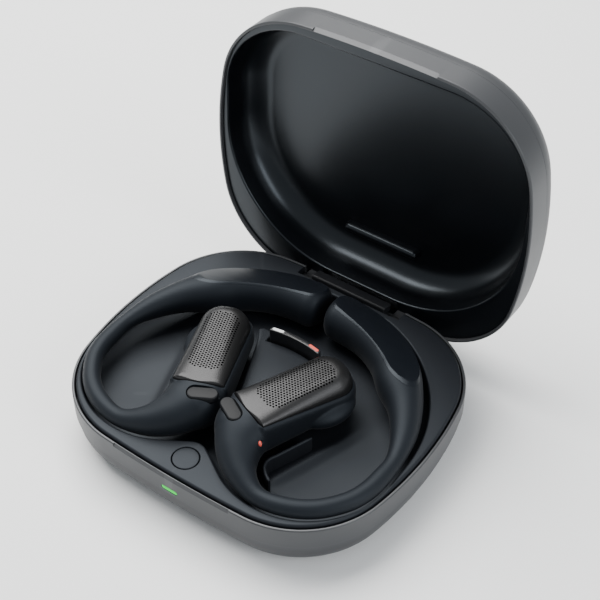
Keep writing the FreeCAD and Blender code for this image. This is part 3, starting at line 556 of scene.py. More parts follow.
class EarphoneSettings(bpy.types.PropertyGroup):
    sleeve_colour: colour_property(
        "Sleeve colour", "Soft skin of heads, hooks and pods", (0.0048, 0.0062, 0.0088)
    )
    plate_colour: colour_property("Plate colour", "Brushed metal of the grille plates", (0.035, 0.035, 0.036))
    cap_colour: colour_property("Cap colour", "Flat caps on the pods", (0.0048, 0.0060, 0.0085))
    hole_size: size_property("Hole diameter", "Sound holes in the plates", 0.47 * MM)
    hole_pitch: size_property("Hole pitch", "Distance between neighbouring sound holes", 0.70 * MM)
    voxel: size_property("Skin detail", "Voxel size used to blend the soft skin", 0.32 * MM)
    blend_steps: IntProperty(
        name="Skin smoothing", description="Smoothing passes over the blended skin", default=5
    )


class StageSettings(bpy.types.PropertyGroup):
    floor_colour: colour_property("Floor colour", "Pale table top", (0.90, 0.905, 0.905))
    key_power: FloatProperty(
        name="Overhead light", description="Power of the large overhead light", default=12.0,
        subtype="POWER"
    )
    side_power: FloatProperty(
        name="Side light", description="Power of the window light from the right", default=4.0,
        subtype="POWER"
    )
    sky: FloatProperty(name="Sky", description="Strength of the even light from all round", default=0.6)


def case_set():
    return bpy.context.scene.hook_case


def ear_set():
    return bpy.context.scene.hook_earphones


def stage_set():
    return bpy.context.scene.hook_stage


def band_paint():
    return finish(
        "satin_band", case_set().band_colour, 0.42, metal=0.35, grain=0.07, bump=0.10, mottle=0.05,
        edge=0.35
    )


def pan_paint():
    return finish(
        "satin_pan", case_set().pan_colour, 0.46, metal=0.30, grain=0.07, bump=0.10, mottle=0.05, edge=0.25
    )


def deck_plastic():
    return finish(
        "matte_deck", case_set().deck_colour, 0.54, specular=0.30, tint_glance=COOL, grain=0.11, bump=0.16,
        mottle=0.10, edge=0.2
    )


def liner_plastic():
    return finish(
        "satin_liner", case_set().liner_colour, 0.29, specular=0.45, tint_glance=COOL, spread=0.03,
        grain=0.10, bump=0.05, mottle=0.05, edge=0.1
    )


def skin_rubber():
    return finish(
        "soft_skin", ear_set().sleeve_colour, 0.56, specular=0.24, tint_glance=COOL, grain=0.09, bump=0.07,
        mottle=0.05, sheen=0.03, patch=14.0
    )


def dark_plastic():
    return finish("dark_plastic", (0.02, 0.021, 0.024), 0.45, grain=0.10, bump=0.06)


# ---------------------------------------------------------------- case, lower half
def band_solid(name, low, high, wall, round_top, round_low, inset=0.0):
    """Ring with the case's outline and eased outer edges."""
    profile = [(inset + wall, low), (inset + round_low, low)]
    profile += [(inset + i, low + d) for i, d in rounding(round_low, 3)[::-1]][1:]
    profile += [(inset + i, high - round_top + (round_top - d)) for i, d in rounding(round_top, 4)]
    profile += [(inset + wall - 0.1, high), (inset + wall, high - 0.1)]
    return form(name, skin([level(case_loop(i), z) for i, z in profile], "join"))


THUMB_HALF = 15.25


def thumb_tool(depth, edge, foot):
    """Tool for a slanted thumb facet along the front bow, deepest at an edge and gone at the foot."""
    outer, beyond = FRONT_BOW + 2.5, edge + (edge - foot)
    past = foot + (foot - edge) * 0.5
    profile = [(FRONT_BOW - 2 * depth, beyond), (FRONT_BOW + depth / 2, past), (outer, past), (outer, beyond)]
    half = math.asin(THUMB_HALF / FRONT_BOW)
    loops = []
    for turn in np.linspace(-half, half, 25):
        ring = [(r * math.sin(turn), FRONT_BOW - HALF_DEPTH - r * math.cos(turn), z) for r, z in profile]
        loops.append(np.array(ring))
    return form("tool", skin(loops))


class EARPHONES_OT_case_pan(bpy.types.Operator):
    """Lower pan with its rounded foot and the charging port"""

    bl_idname = "earphones.case_pan"
    bl_label = "Case pan"

    def execute(self, context):
        inset, foot, wall = 0.4, 6.5, 1.6
        groove = mm(case_set().groove)
        loops = [level(case_loop(inset + i), d) for i, d in rounding(foot, 14)[::-1]]
        loops += [
            level(case_loop(i), z)
            for i, z in ((inset, PAN_TOP - groove), (inset + groove, PAN_TOP), (inset + wall, PAN_TOP))
        ]
        loops += [level(case_loop(i), z) for i, z in ((inset + wall, foot), (foot + wall, wall))]
        piece = form("case_pan", skin(loops))
        port = lying_pill(
            "tool", pill_loop((0, 0), 9.0, 3.3),
            [(0.0, HALF_DEPTH - 6), (0.0, HALF_DEPTH - 0.8), (0.5, HALF_DEPTH)], 5.5
        )
        carve(piece, port)
        dress(piece, pan_paint(), "base", "case_grey", "base_pan")
        return {"FINISHED"}


class EARPHONES_OT_case_band(bpy.types.Operator):
    """Band round the lower half, with its thumb facet, light slot and hinge notch"""

    bl_idname = "earphones.case_band"
    bl_label = "Case band"

    def execute(self, context):
        piece = band_solid(
            "case_band", PAN_TOP, BAND_TOP, 0.62, mm(case_set().edge_round), mm(case_set().groove)
        )
        low, high = LIGHT_LOW / MM, LIGHT_HIGH / MM
        middle_z = (low.z + high.z) / 2
        slot = lying_pill("tool", pill_loop((0, 0), high.x - low.x + 0.1, high.z - low.z + 0.1),
                          [(0.0, -HALF_DEPTH - 1), (0.0, -HALF_DEPTH + 2)], middle_z)
        notch = box_tool((-NOTCH_HALF, 30.0, 8.3), (NOTCH_HALF, NOTCH_REAR, NOTCH_TOP))
        carve(piece, thumb_tool(0.4, BAND_TOP, BAND_TOP - 0.9), slot, notch)
        dress(piece, band_paint(), "base", "band_grey", "base_band", sharp=20, even=True)
        return {"FINISHED"}


class EARPHONES_OT_status_light(bpy.types.Operator):
    """Status light in the front of the band"""

    bl_idname = "earphones.status_light"
    bl_label = "Status light"

    def execute(self, context):
        low, high = LIGHT_LOW / MM, LIGHT_HIGH / MM
        outline = pill_loop((0, 0), high.x - low.x, high.z - low.z)
        front = -HALF_DEPTH + 0.03
        levels = [(-0.12, front), (0.0, front + 0.1), (0.0, high.y)]
        piece = lying_pill("status_light", outline, levels, (low.z + high.z) / 2)
        settings = case_set()
        dress(
            piece, glowing("lit_green", settings.light_colour, settings.light_strength), "base",
            "light_green", "led_light_pipe"
        )
        return {"FINISHED"}


RIDGE_START = np.array([16.5, -18.7])
RIDGE_END = np.array([24.8, 5.1])


def floor_height(points):
    """Height of the recess floor: shallow bowls in the loops with a soft ridge beside each head."""
    x, y = np.abs(points[:, 0]), points[:, 1]
    flat = np.c_[x, y]
    along = (RIDGE_END - RIDGE_START) / np.hypot(*(RIDGE_END - RIDGE_START))
    t = (flat - RIDGE_START) @ along
    away = (flat - RIDGE_START) @ np.array([along[1], -along[0]])
    ridge = 0.75 * np.exp(-(away / 1.5) ** 2) * np.exp(-(np.clip(-t - 1.0, 0, None) / 2.5) ** 2)
    ridge *= 1.0 / (1.0 + np.exp((t - 20.0) / 2.0))
    ramp = 0.5 / (1.0 + np.exp((away + 0.3) / 0.7))
    bowl = np.exp(-(((x - 25.5) / 8.0) ** 4 + ((y + 8.0) / 13.0) ** 4))
    return 9.0 - 0.5 * bowl + ridge + ramp * bowl


class EARPHONES_OT_deck(bpy.types.Operator):
    """Deck with the sculpted recess for the earphones"""

    bl_idname = "earphones.deck"
    bl_label = "Deck"

    def execute(self, context):
        inset, under, edge, lip = 1.0, DECK_TOP - 1.8, 0.6, 0.55
        case = lambda i, z: level(on_rays(case_loop(i, 120)), z)
        recess = lambda g, z: level(on_rays(recess_loop(g)), z)
        loops = [recess(0.6, TUB_BOTTOM), recess(0.6, under), case(inset, under)]
        loops += [case(inset + i, DECK_TOP - edge + (edge - d)) for i, d in rounding(edge, 5)]
        loops += [recess(i, DECK_TOP - lip + (lip - d)) for i, d in rounding(lip, 5)[::-1]]
        foot = 1.6
        rim = floor_height(recess(-foot, 0.0)[:, :2])
        for turn in np.linspace(0, math.pi / 2, 6):
            loops.append(recess(-foot * (1 - math.cos(turn)), rim + foot * (1 - math.sin(turn))))
        for share in np.linspace(1.0, 0.0, 72)[1:-1]:
            flat = on_rays(recess_loop(-foot), share)
            loops.append(level(flat, floor_height(flat)))
        piece = form("deck", skin(loops, "pole"))
        hole = tower(
            "tool", circle_loop((0, BUTTON_Y), 3.03, 96),
            [(0, 11.0), (0, DECK_TOP - 0.12), (0.3, DECK_TOP + 0.2)]
        )
        notch = box_tool((-NOTCH_HALF, 30.9, 11.0), (NOTCH_HALF, NOTCH_REAR, NOTCH_TOP))
        carve(piece, hole, notch)
        dress(piece, deck_plastic(), "base", "deck_black", "tray", sharp=40)
        return {"FINISHED"}


def head_point(v, u):
    """Plan position of a point in the right head's frame: v to the outer side, u to the tip."""
    c, s = math.cos(HEAD_TURN), math.sin(HEAD_TURN)
    return np.array([HEAD_ORIGIN[0] + v * c - u * s, HEAD_ORIGIN[1] + v * s + u * c])


HEAD_ORIGIN = (7.69, -12.6)
HEAD_TURN = math.radians(-21.2)


def ribbon(name, path, half_width, bottom, top, side=1):
    """Low wall with a rounded top along a plan path."""
    path = np.array(path, float) * np.array([side, 1.0])
    path = np.array([row for row in smooth_rows(path, 8)])
    ahead = np.gradient(path, axis=0)
    ahead /= np.hypot(ahead[:, 0], ahead[:, 1])[:, None]
    across = np.c_[ahead[:, 1], -ahead[:, 0]]
    loops = []
    crown = np.linspace(0, math.pi, 9)
    for i, (spot, sideways) in enumerate(zip(path, across)):
        taper = 1.0 - 0.45 * max(0.0, 1 - min(i, len(path) - 1 - i) / 2.0)
        width = half_width * taper
        ring = [(*(spot + sideways * width), bottom)]
        ring += [
            (*(spot + sideways * width * math.cos(t)), top - half_width + half_width * taper * math.sin(t))
            for t in crown
        ]
        ring += [(*(spot - sideways * width), bottom)]
        loops.append(np.array(ring))
    return form(name, skin(loops))


def smooth_rows(rows, per_span):
    """Rows of numbers with a smooth curve put through them."""
    rows = np.array(rows, float)
    padded = np.vstack([2 * rows[0] - rows[1], rows, 2 * rows[-1] - rows[-2]])
    out = []
    for a, b, c, d in zip(padded[:-3], padded[1:-2], padded[2:-1], padded[3:]):
        for t in np.linspace(0, 1, per_span, endpoint=False):
            out.append(0.5 * (
                2 * b + (c - a) * t + (2 * a - 5 * b + 4 * c - d) * t**2 + (3 * b - a - 3 * c + d) * t**3
            ))
    out.append(rows[-1])
    return out


STRIP_BOW = 28.0
STRIP_BOW_Y = -17.25
SLOT_HALF = 7.3


def bow_points(radius, half):
    """Points from right to left along the bow that the strip follows."""
    end = math.asin(half / radius)
    return [(radius * math.sin(t), STRIP_BOW_Y + radius * math.cos(t)) for t in np.linspace(end, -end, 25)]


def soften(piece, width, angle=40, segments=3):
    """Round a piece's sharp edges by a width in millimetres."""
    ease = piece.modifiers.new("ease", "BEVEL")
    ease.width = width * MM
    ease.segments = segments
    ease.limit_method = "ANGLE"
    ease.angle_limit = math.radians(angle)
    return bake(piece)


class EARPHONES_OT_deck_fittings(bpy.types.Operator):
    """Raised island between the heads, the low walls beside them and the marked strip"""

    bl_idname = "earphones.deck_fittings"
    bl_label = "Deck fittings"

    def execute(self, context):
        half = [(1.0, -11.0), (8.2, 6.0), (9.0, 7.9), (10.9, 11.0), (10.0, 11.8)]
        corners = half + [(-x, y) for x, y in half[::-1]]
        island = tower("deck_island", polygon_loop(corners), [(0, 8.4), (0, 13.2)])
        slot = [*bow_points(STRIP_BOW - 1.0, SLOT_HALF), (-SLOT_HALF, 14.0), (SLOT_HALF, 14.0)]
        carve(island, tower("tool", polygon_loop(slot), [(0, 8.0), (0, 14.0)]))
        soften(island, 0.35)
        dress(island, deck_plastic(), "base", "deck_black")
        path = [
            head_point(7.9, 7.2), head_point(7.9, 3.0), head_point(7.9, -1.4), (13.9, -18.2),
            (13.75, -19.6), (14.3, -21.0), (15.6, -22.3), (17.2, -23.3)
        ]
        for side, label in ((1, "right"), (-1, "left")):
            wall = ribbon("deck_wall_" + label, path, 0.42, 8.2, 13.2, side)
            dress(wall, deck_plastic(), "base", "deck_black")
        low, top = mm(STRIP_LOW.z), mm(STRIP_HIGH.z)
        half_long = mm(STRIP_HIGH.x) - 0.02
        strip_loop = [
            *bow_points(STRIP_BOW - 0.63, half_long), *bow_points(STRIP_BOW + 0.63, half_long)[::-1]
        ]
        strip = tower("side_strip_bar", polygon_loop(strip_loop), [(0, low), (0, top)])
        soften(strip, 0.28)
        marks = []
        for name in ("strip_mark_white", "strip_mark_red"):
            near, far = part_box(name)
            x = mm((near.x + far.x) / 2)
            y = STRIP_BOW_Y + math.sqrt(STRIP_BOW**2 - x**2)
            turn = -math.degrees(math.asin(x / STRIP_BOW))
            marks.append(tower("tool", pill_loop((x, y), 2.8, 0.7, turn), [(0, top - 0.3), (0, top + 0.1)]))
        carve(strip, *marks)
        dress(
            strip, finish("strip_plastic", (0.010, 0.0105, 0.012), 0.34, grain=0.1, bump=0.04, edge=0.5),
            "base", "strip_black", "side_strip"
        )
        return {"FINISHED"}


class EARPHONES_OT_case_button(bpy.types.Operator):
    """Round pairing button in the deck"""

    bl_idname = "earphones.case_button"
    bl_label = "Case button"

    def execute(self, context):
        levels = [(0.65, 11.7), (0.65, 12.05), (0.0, 12.05)]
        levels += [(-i, DECK_TOP - d) for i, d in rounding(0.18, 3)]
        levels += [(-1.2, DECK_TOP - 0.01), (-2.2, DECK_TOP - 0.03)]
        cap = tower("case_button_cap", circle_loop((0, BUTTON_Y), 2.85, 96), levels)
        stem = tower("tool", circle_loop((0, BUTTON_Y), 0.9, 24), [(0, 10.6), (0, 11.8)])
        carve(cap, stem, how="UNION")
        dress(cap, deck_plastic(), "case_button", "button_black", "case_button")
        return {"FINISHED"}


class EARPHONES_OT_hinge(bpy.types.Operator):
    """Cover over the hinge"""

    bl_idname = "earphones.hinge"
    bl_label = "Hinge cover"

    def execute(self, context):
        profile = [(30.95, 12.6), (34.1, 12.6), (34.3, 14.26), (31.3, 15.25), (30.95, 14.9)]
        cover = bar("hinge_cover_bar", profile, COVER_HALF, 0.15)
        soften(cover, 0.12, 25)
        material = finish(
            "hinge_plastic", (0.006, 0.0065, 0.008), 0.45, specular=0.3, grain=0.1, bump=0.05, edge=0.3
        )
        dress(cover, material, "base", "hinge_black", "hinge_cover")
        return {"FINISHED"}


# ---------------------------------------------------------------- lid, drawn closed and then turned back
LID_SPLIT = 13.7
LID_BAND_TOP = 20.15
LID_TOP = 27.0
LID_ROUND = 6.3
LID_WALL = 0.7
BOWL_CEILING = 24.4


class EARPHONES_OT_lid_band(bpy.types.Operator):
    """Band round the lid with its thumb facet"""

    bl_idname = "earphones.lid_band"
    bl_label = "Lid band"

    def execute(self, context):
        soft = mm(case_set().edge_round)
        profile = [(LID_WALL, LID_BAND_TOP), (LID_WALL, LID_SPLIT + 0.1), (LID_WALL - 0.1, LID_SPLIT)]
        profile += [(i, LID_SPLIT + soft - (soft - d)) for i, d in rounding(soft, 4)[::-1]]
        profile += [(0.0, LID_BAND_TOP - 0.15), (0.15, LID_BAND_TOP)]
        piece = form("lid_rim_band", skin([level(case_loop(i), z) for i, z in profile], "join"))
        carve(piece, thumb_tool(0.5, LID_SPLIT, LID_SPLIT + 1.1), axle_tool(ARM_ROOM, ARM_ROOM_HALF))
        opened(piece)
        dress(piece, band_paint(), "lid", "band_grey", "lid_band", sharp=20, even=True)
        return {"FINISHED"}


class EARPHONES_OT_lid_cover(bpy.types.Operator):
    """Rounded outer cover of the lid"""

    bl_idname = "earphones.lid_cover"
    bl_label = "Lid cover"

    def execute(self, context):
        inset, wall = 0.15, 0.8
        loops = [
            level(case_loop(inset + wall), LID_BAND_TOP), level(case_loop(inset + 0.2), LID_BAND_TOP),
            level(case_loop(inset), LID_BAND_TOP + 0.2)
        ]
        loops += [
            level(case_loop(inset + i), LID_TOP - LID_ROUND + (LID_ROUND - d))
            for i, d in rounding(LID_ROUND, 14)
        ]
        outer, inner = loops[2:], []
        for i, d in rounding(LID_ROUND - wall, 10)[::-1]:
            inner.append(level(
                case_loop(inset + wall + i), LID_TOP - wall - (LID_ROUND - wall) + (LID_ROUND - wall - d)
            ))
        whole = inner + loops[:2] + outer
        piece = form("lid_cover_shell", skin(whole))
        opened(piece)
        dress(piece, pan_paint(), "lid", "case_grey", "lid_cover")
        return {"FINISHED"}


class EARPHONES_OT_lid_bowl(bpy.types.Operator):
    """Liner of the lid: a flat flange and a soft-cornered bowl with its rib"""

    bl_idname = "earphones.lid_bowl"
    bl_label = "Lid bowl"

    def execute(self, context):
        flange, lip, gap, wall = LID_SPLIT + 0.8, 0.5, 0.3, 0.6
        case = lambda i, z: level(on_rays(case_loop(i, 120)), z)
        bowl = lambda g, z: level(on_rays(bowl_loop(g)), z)
        inner = 6.0
        loops = [on_rays_centre(bowl_loop(gap + wall - 6.6), BOWL_CEILING + wall)]
        loops += [
            bowl(gap + wall - i, BOWL_CEILING + wall - 6.6 + (6.6 - d))
            for i, d in rounding(6.6, 10)[::-1]
        ]
        loops += [
            bowl(gap + wall, flange + 1.2), case(LID_WALL + 0.02, flange + 1.2),
            case(LID_WALL + 0.02, flange + 0.1), case(LID_WALL + 0.12, flange)
        ]
        loops += [bowl(gap + i, flange + lip - (lip - d)) for i, d in rounding(lip, 5)[::-1]]
        loops += [bowl(gap - i, BOWL_CEILING - inner + (inner - d)) for i, d in rounding(inner, 12)]
        for share in np.linspace(1.0, 0.0, 14)[1:-1]:
            loops.append(level(on_rays(bowl_loop(gap - inner), share), BOWL_CEILING))
        piece = form("lid_bowl", skin(loops, "pole"))
        carve(piece, axle_tool(ARM_ROOM, ARM_ROOM_HALF))
        opened(piece)
        dress(piece, liner_plastic(), "lid", "liner_black", "lid_liner", sharp=40)
        rib = tower(
            "lid_bowl_rib", pill_loop((0, 21.1), 20.1, 2.2),
            [(-i, BOWL_CEILING - 2.4 + d) for i, d in rounding(1.0, 5)[::-1]] + [(0.0, BOWL_CEILING)]
        )
        opened(rib)
        dress(rib, liner_plastic(), "lid", "rib_black", "lid_rib")
        return {"FINISHED"}


# ---------------------------------------- earphones, the right one; the left is its mirror image
HEAD_INNER, HEAD_OUTER = -6.2, 6.8
HEAD_BASE, HEAD_TIP, TIP_ROUND = -3.8, 22.3, 6.0
HEAD_BOTTOM, PLATE_TOP = 12.0, 22.5
PLATE_INSET = 0.85
SEAM_START, SEAM_FALL = 20.9, 0.1325
HOOK_SPOT, HOOK_REACH, HOOK_RADIUS, HOOK_Z = (18.3, -11.0), 17.85, 2.05, 14.5
POD_SPOT, POD_REACH, POD_RADIUS, POD_Z = (5.47, -2.9), 25.8, 5.2, 15.2
KEY_SPOT, KEY_TURN = (3.75, -18.12), -29.0
FACET_POINT = (3.8, 22.3, 19.9)
FACET_CHORD = (0.94, -0.3412, -0.03)
FACET_FALL = 0.35


def seam_height(u):
    """Height of the seam round the grille plate, which falls towards the tip."""
    return SEAM_START - SEAM_FALL * u


def head_loop(grow, base=HEAD_BASE, bulge=0.0):
    """Outline of the head in its own frame: square at the neck and rounded at the tip."""
    low, high = HEAD_INNER - grow, HEAD_OUTER + grow
    tip, radius = HEAD_TIP + grow, TIP_ROUND + grow
    middle, half = (low + high) / 2, (high - low) / 2
    across = np.linspace(low, high, 17)[:-1]
    base_line = np.c_[across, base - bulge * (1 - ((across - middle) / half) ** 2)]
    return np.vstack([
        base_line,
        line_points((high, base), (high, tip - radius), 20),
        arc_points((high - radius, tip - radius), radius, 0, 90, 16),
        line_points((high - radius, tip), (low + radius, tip), 4),
        arc_points((low + radius, tip - radius), radius, 90, 180, 16),
        line_points((low, tip - radius), (low, base), 20),
    ])


def into_place(points):
    """Points from the head's own frame to the case's."""
    c, s = math.cos(HEAD_TURN), math.sin(HEAD_TURN)
    out = np.array(points, float)
    x, y = out[:, 0].copy(), out[:, 1].copy()
    out[:, 0] = HEAD_ORIGIN[0] + x * c - y * s
    out[:, 1] = HEAD_ORIGIN[1] + x * s + y * c
    return out


def head_blank():
    """Body of the head up to the seam round the plate."""
    foot = 3.4
    loops = [level(head_loop(-i), HEAD_BOTTOM + d) for i, d in rounding(foot, 8)[::-1]]
    for grow, below in ((0.0, 1.8), (-0.06, 1.1), (-0.25, 0.5), (-0.6, 0.05)):
        flat = head_loop(grow)
        loops.append(level(flat, seam_height(flat[:, 1]) - below))
    points, faces = skin(loops)
    return into_place(points), faces


def lobe_blank():
    """Soft lobe under the outer side of the tip."""
    loops = []
    for turn in np.linspace(-math.pi / 2, math.pi / 2, 19)[1:-1]:
        ring = arc_points(
            (0.0, 0.0), math.cos(turn) ** 0.75, 0, 360, 48
        ) * np.array([6.4, 7.6]) + np.array([2.6, 13.6])
        loops.append(level(ring, 14.9 + 2.9 * math.sin(turn)))
    points, faces = skin(loops)
    return into_place(points), faces


def arm_sections():
    """Sections of neck, hook and pod: place, half width, half height and squareness."""
    start, base = head_point(0.2, 2.5), head_point(0.2, HEAD_BASE)
    rows = [
        (*start, 16.6, 6.2, 4.6, 2.9),
        (*base, 17.15, 6.4, 5.15, 2.8),
        (7.6, -19.8, 16.9, 5.8, 4.95, 2.4),
        (9.5, -23.4, 16.0, 4.6, 4.35, 2.2),
        (13.0, -26.8, 15.05, 3.1, 3.3, 2.1),
    ]
    for turn in (-90, -70, -50, -30, -15, 0):
        t = math.radians(turn)
        rows.append((
            HOOK_SPOT[0] + HOOK_REACH * math.cos(t), HOOK_SPOT[1] + HOOK_REACH * math.sin(t), HOOK_Z,
            HOOK_RADIUS, HOOK_RADIUS, 2.0
        ))
    for turn, reach, radius, z in ((0, 33.2, 1.95, 14.6), (12, 31.9, 2.9, 14.8), (25, 30.5, 3.9, 15.0)):
        t = math.radians(turn)
        rows.append((
            REAR_SPOT[0] + reach * math.cos(t), REAR_SPOT[1] + reach * math.sin(t), z, radius, radius, 2.0
        ))
    for turn, radius in ((38, 5.1), (51, POD_RADIUS), (64, POD_RADIUS), (77, POD_RADIUS), (90, POD_RADIUS)):
        t = math.radians(turn)
        rows.append((
            POD_SPOT[0] + POD_REACH * math.cos(t), POD_SPOT[1] + POD_REACH * math.sin(t), POD_Z, radius,
            radius, 2.25
        ))
    rows.append((4.0, POD_SPOT[1] + POD_REACH, POD_Z, POD_RADIUS, POD_RADIUS, 2.25))
    return rows


def arm_blank():
    """Neck, hook and pod as one swept form."""
    rows = smooth_rows(arm_sections(), 8)
    table = np.array(rows)
    ahead = np.gradient(table[:, :3], axis=0)
    ahead[:, 2] = 0.0
    ahead /= np.linalg.norm(ahead, axis=1)[:, None]
    end = table[-1].copy()
    depth = end[0] - 1.0
    for turn in np.linspace(0, math.pi / 2, 9)[1:-1]:
        row = end.copy()
        row[0] = end[0] - depth * math.sin(turn)
        row[3:5] = end[3:5] * (0.28 + 0.72 * math.cos(turn) ** 0.62)
        table = np.vstack([table, row])
        ahead = np.vstack([ahead, ahead[len(rows) - 1]])
    turn = np.linspace(0, 2 * math.pi, 40, endpoint=False)
    loops = []
    for (x, y, z, wide, high, square), along in zip(table, ahead):
        across = np.cross(UP, along)
        a = np.sign(np.cos(turn)) * np.abs(np.cos(turn)) ** (2 / square) * wide
        b = np.sign(np.sin(turn)) * np.abs(np.sin(turn)) ** (2 / square) * high
        loops.append(np.array([x, y, z]) + a[:, None] * across + b[:, None] * UP)
    return skin(loops)


def facet_plane(lower=0.0):
    """A point on the flat facet across the pod and its outward normal."""
    chord = Vector(FACET_CHORD).normalized()
    level_out = Vector((-chord.y, chord.x, 0.0))
    fall = (level_out + Vector((0, 0, -FACET_FALL))).normalized()
    normal = chord.cross(fall).normalized()
    if normal.z < 0:
        normal = -normal
    return Vector(FACET_POINT) - normal * lower, normal


def facet_tool(lower, height):
    """Slab on the facet's plane over the pod, used only to cut."""
    point, normal = facet_plane(lower)
    chord = Vector(FACET_CHORD).normalized()
    across = normal.cross(chord)
    corners = []
    for rise in (0.0, height):
        for a, b in ((-9, -9), (46, -9), (46, 18), (-9, 18)):
            corners.append(tuple(point + chord * a + across * b + normal * rise))
    return form(
        "tool",
        (corners, [(0, 1, 2, 3), (7, 6, 5, 4), (0, 4, 5, 1), (1, 5, 6, 2), (2, 6, 7, 3), (3, 7, 4, 0)])
    )


def blended(name, *parts):
    """Closed forms melted into one soft skin."""
    piece = form(name, *parts)
    melt = piece.modifiers.new("melt", "REMESH")
    melt.mode = "VOXEL"
    melt.voxel_size = ear_set().voxel
    relax = piece.modifiers.new("relax", "SMOOTH")
    relax.factor = 0.5
    relax.iterations = ear_set().blend_steps
    return bake(piece)


def seat_tool():
    """Room for the grille plate in the head."""
    loops = []
    for above in (-0.9, 4.5):
        flat = head_loop(-PLATE_INSET + 0.14, HEAD_BASE + 0.25, 0.8)
        loops.append(level(flat, seam_height(flat[:, 1]) + above))
    points, faces = skin(loops)
    return form("tool", (into_place(points), faces))


def surface_spot(piece, start, direction):
    """Where a line meets a piece, in millimetres, and the outward normal there."""
    hit, place, normal, _ = piece.ray_cast(Vector(start) * MM, Vector(direction).normalized())
    if not hit:
        raise RuntimeError("no surface of " + piece.name + " lies that way")
    return place / MM, normal


def ball_tool(centre, radii, normal):
    """Squashed ball turned to a direction."""
    loops = []
    for t in np.linspace(-math.pi / 2, math.pi / 2, 15)[1:-1]:
        ring = arc_points((0, 0), 1.0, 0, 360, 28)
        loops.append(np.c_[
            ring[:, 0] * radii[0] * math.cos(t), ring[:, 1] * radii[1] * math.cos(t),
            np.full(len(ring), radii[2] * math.sin(t))
        ])
    points, faces = skin(loops)
    turn = Vector(normal).to_track_quat("Z", "Y").to_matrix()
    placed = [turn @ Vector(p) + Vector(centre) for p in points]
    return [tuple(p) for p in placed], faces


class EARPHONES_OT_skins(bpy.types.Operator):
    """Soft skin of each earphone from head to pod, with the caps and side marks"""

    bl_idname = "earphones.skins"
    bl_label = "Soft skins"

    def execute(self, context):
        right = blended("right_skin", head_blank(), lobe_blank(), arm_blank())
        seat = tower("tool", pill_loop(KEY_SPOT, 7.1, 3.5, KEY_TURN), [(0, 20.3), (0, 23.5)])
        spot, normal = surface_spot(right, (20.0, -21.6, 21.0), (-0.93, 0.2, -0.32))
        dimple = form("tool", ball_tool(spot + normal * 0.75, (1.25, 1.05, 1.0), normal))
        pod_top = right.copy()
        pod_top.data = right.data.copy()
        bpy.context.scene.collection.objects.link(pod_top)
        carve(right, seat_tool(), seat, dimple, facet_tool(0.5, 12.0))
        cap = carve(pod_top, facet_tool(0.47, 0.47), how="INTERSECT")
        cap.name = "right_pod_facet"
        soften(cap, 0.1, 40, 2)
        mark = form("right_mark_dot", ball_tool(spot - normal * 0.15, (0.42, 0.72, 0.32), normal))
        cap_material = finish(
            "cap_plastic", ear_set().cap_colour, 0.40, specular=0.3, tint_glance=COOL, grain=0.1, bump=0.03,
            mottle=0.04
        )
        red = finish("mark_red", (0.62, 0.045, 0.03), 0.45, mottle=0.05, grain=0.1)
        dark = finish("mark_dark", (0.006, 0.006, 0.007), 0.5, mottle=0.05, grain=0.1)
        left = [
            copy_mirrored(right, "left_skin"), copy_mirrored(cap, "left_pod_facet"),
            copy_mirrored(mark, "left_mark_dot")
        ]
        for side, (soft, flat, dot), tone in (("right", (right, cap, mark), red), ("left", left, dark)):
            body = side + "_earphone"
            stands = [side + "_" + part for part in ("head_shell", "neck_sleeve", "hook_sleeve", "pod_shell")]
            dress(soft, skin_rubber(), body, "silicone_dark", *stands, sharp=38)
            dress(flat, cap_material, body, "cap_dark", side + "_pod_cap", sharp=30)
            dress(dot, tone, body, "mark_red" if side == "right" else "mark_dark", side + "_side_mark")
        return {"FINISHED"}


def plate_blank():
    """Grille plate without its holes, in the head's own frame."""
    base, bulge, thick, flank = HEAD_BASE + 0.4, 0.8, 0.5, 3.6

    def shell(inner, low):
        loops = []
        first = head_loop(-PLATE_INSET - inner, base + inner, bulge)
        loops.append(level(first, seam_height(first[:, 1]) - low))
        for turn in np.linspace(0, math.pi / 2, 9):
            flat = head_loop(
                -PLATE_INSET - inner - (flank - inner) * (1 - math.cos(turn)),
                base + inner + 0.12 * (1 - math.cos(turn)), bulge
            )
            seam = seam_height(flat[:, 1])
            loops.append(level(flat, seam + (PLATE_TOP - inner - seam) * math.sin(turn)))
        return loops

    outer = shell(0.0, 0.75)
    inside = shell(thick, 0.75)
    return skin(inside[::-1] + outer)


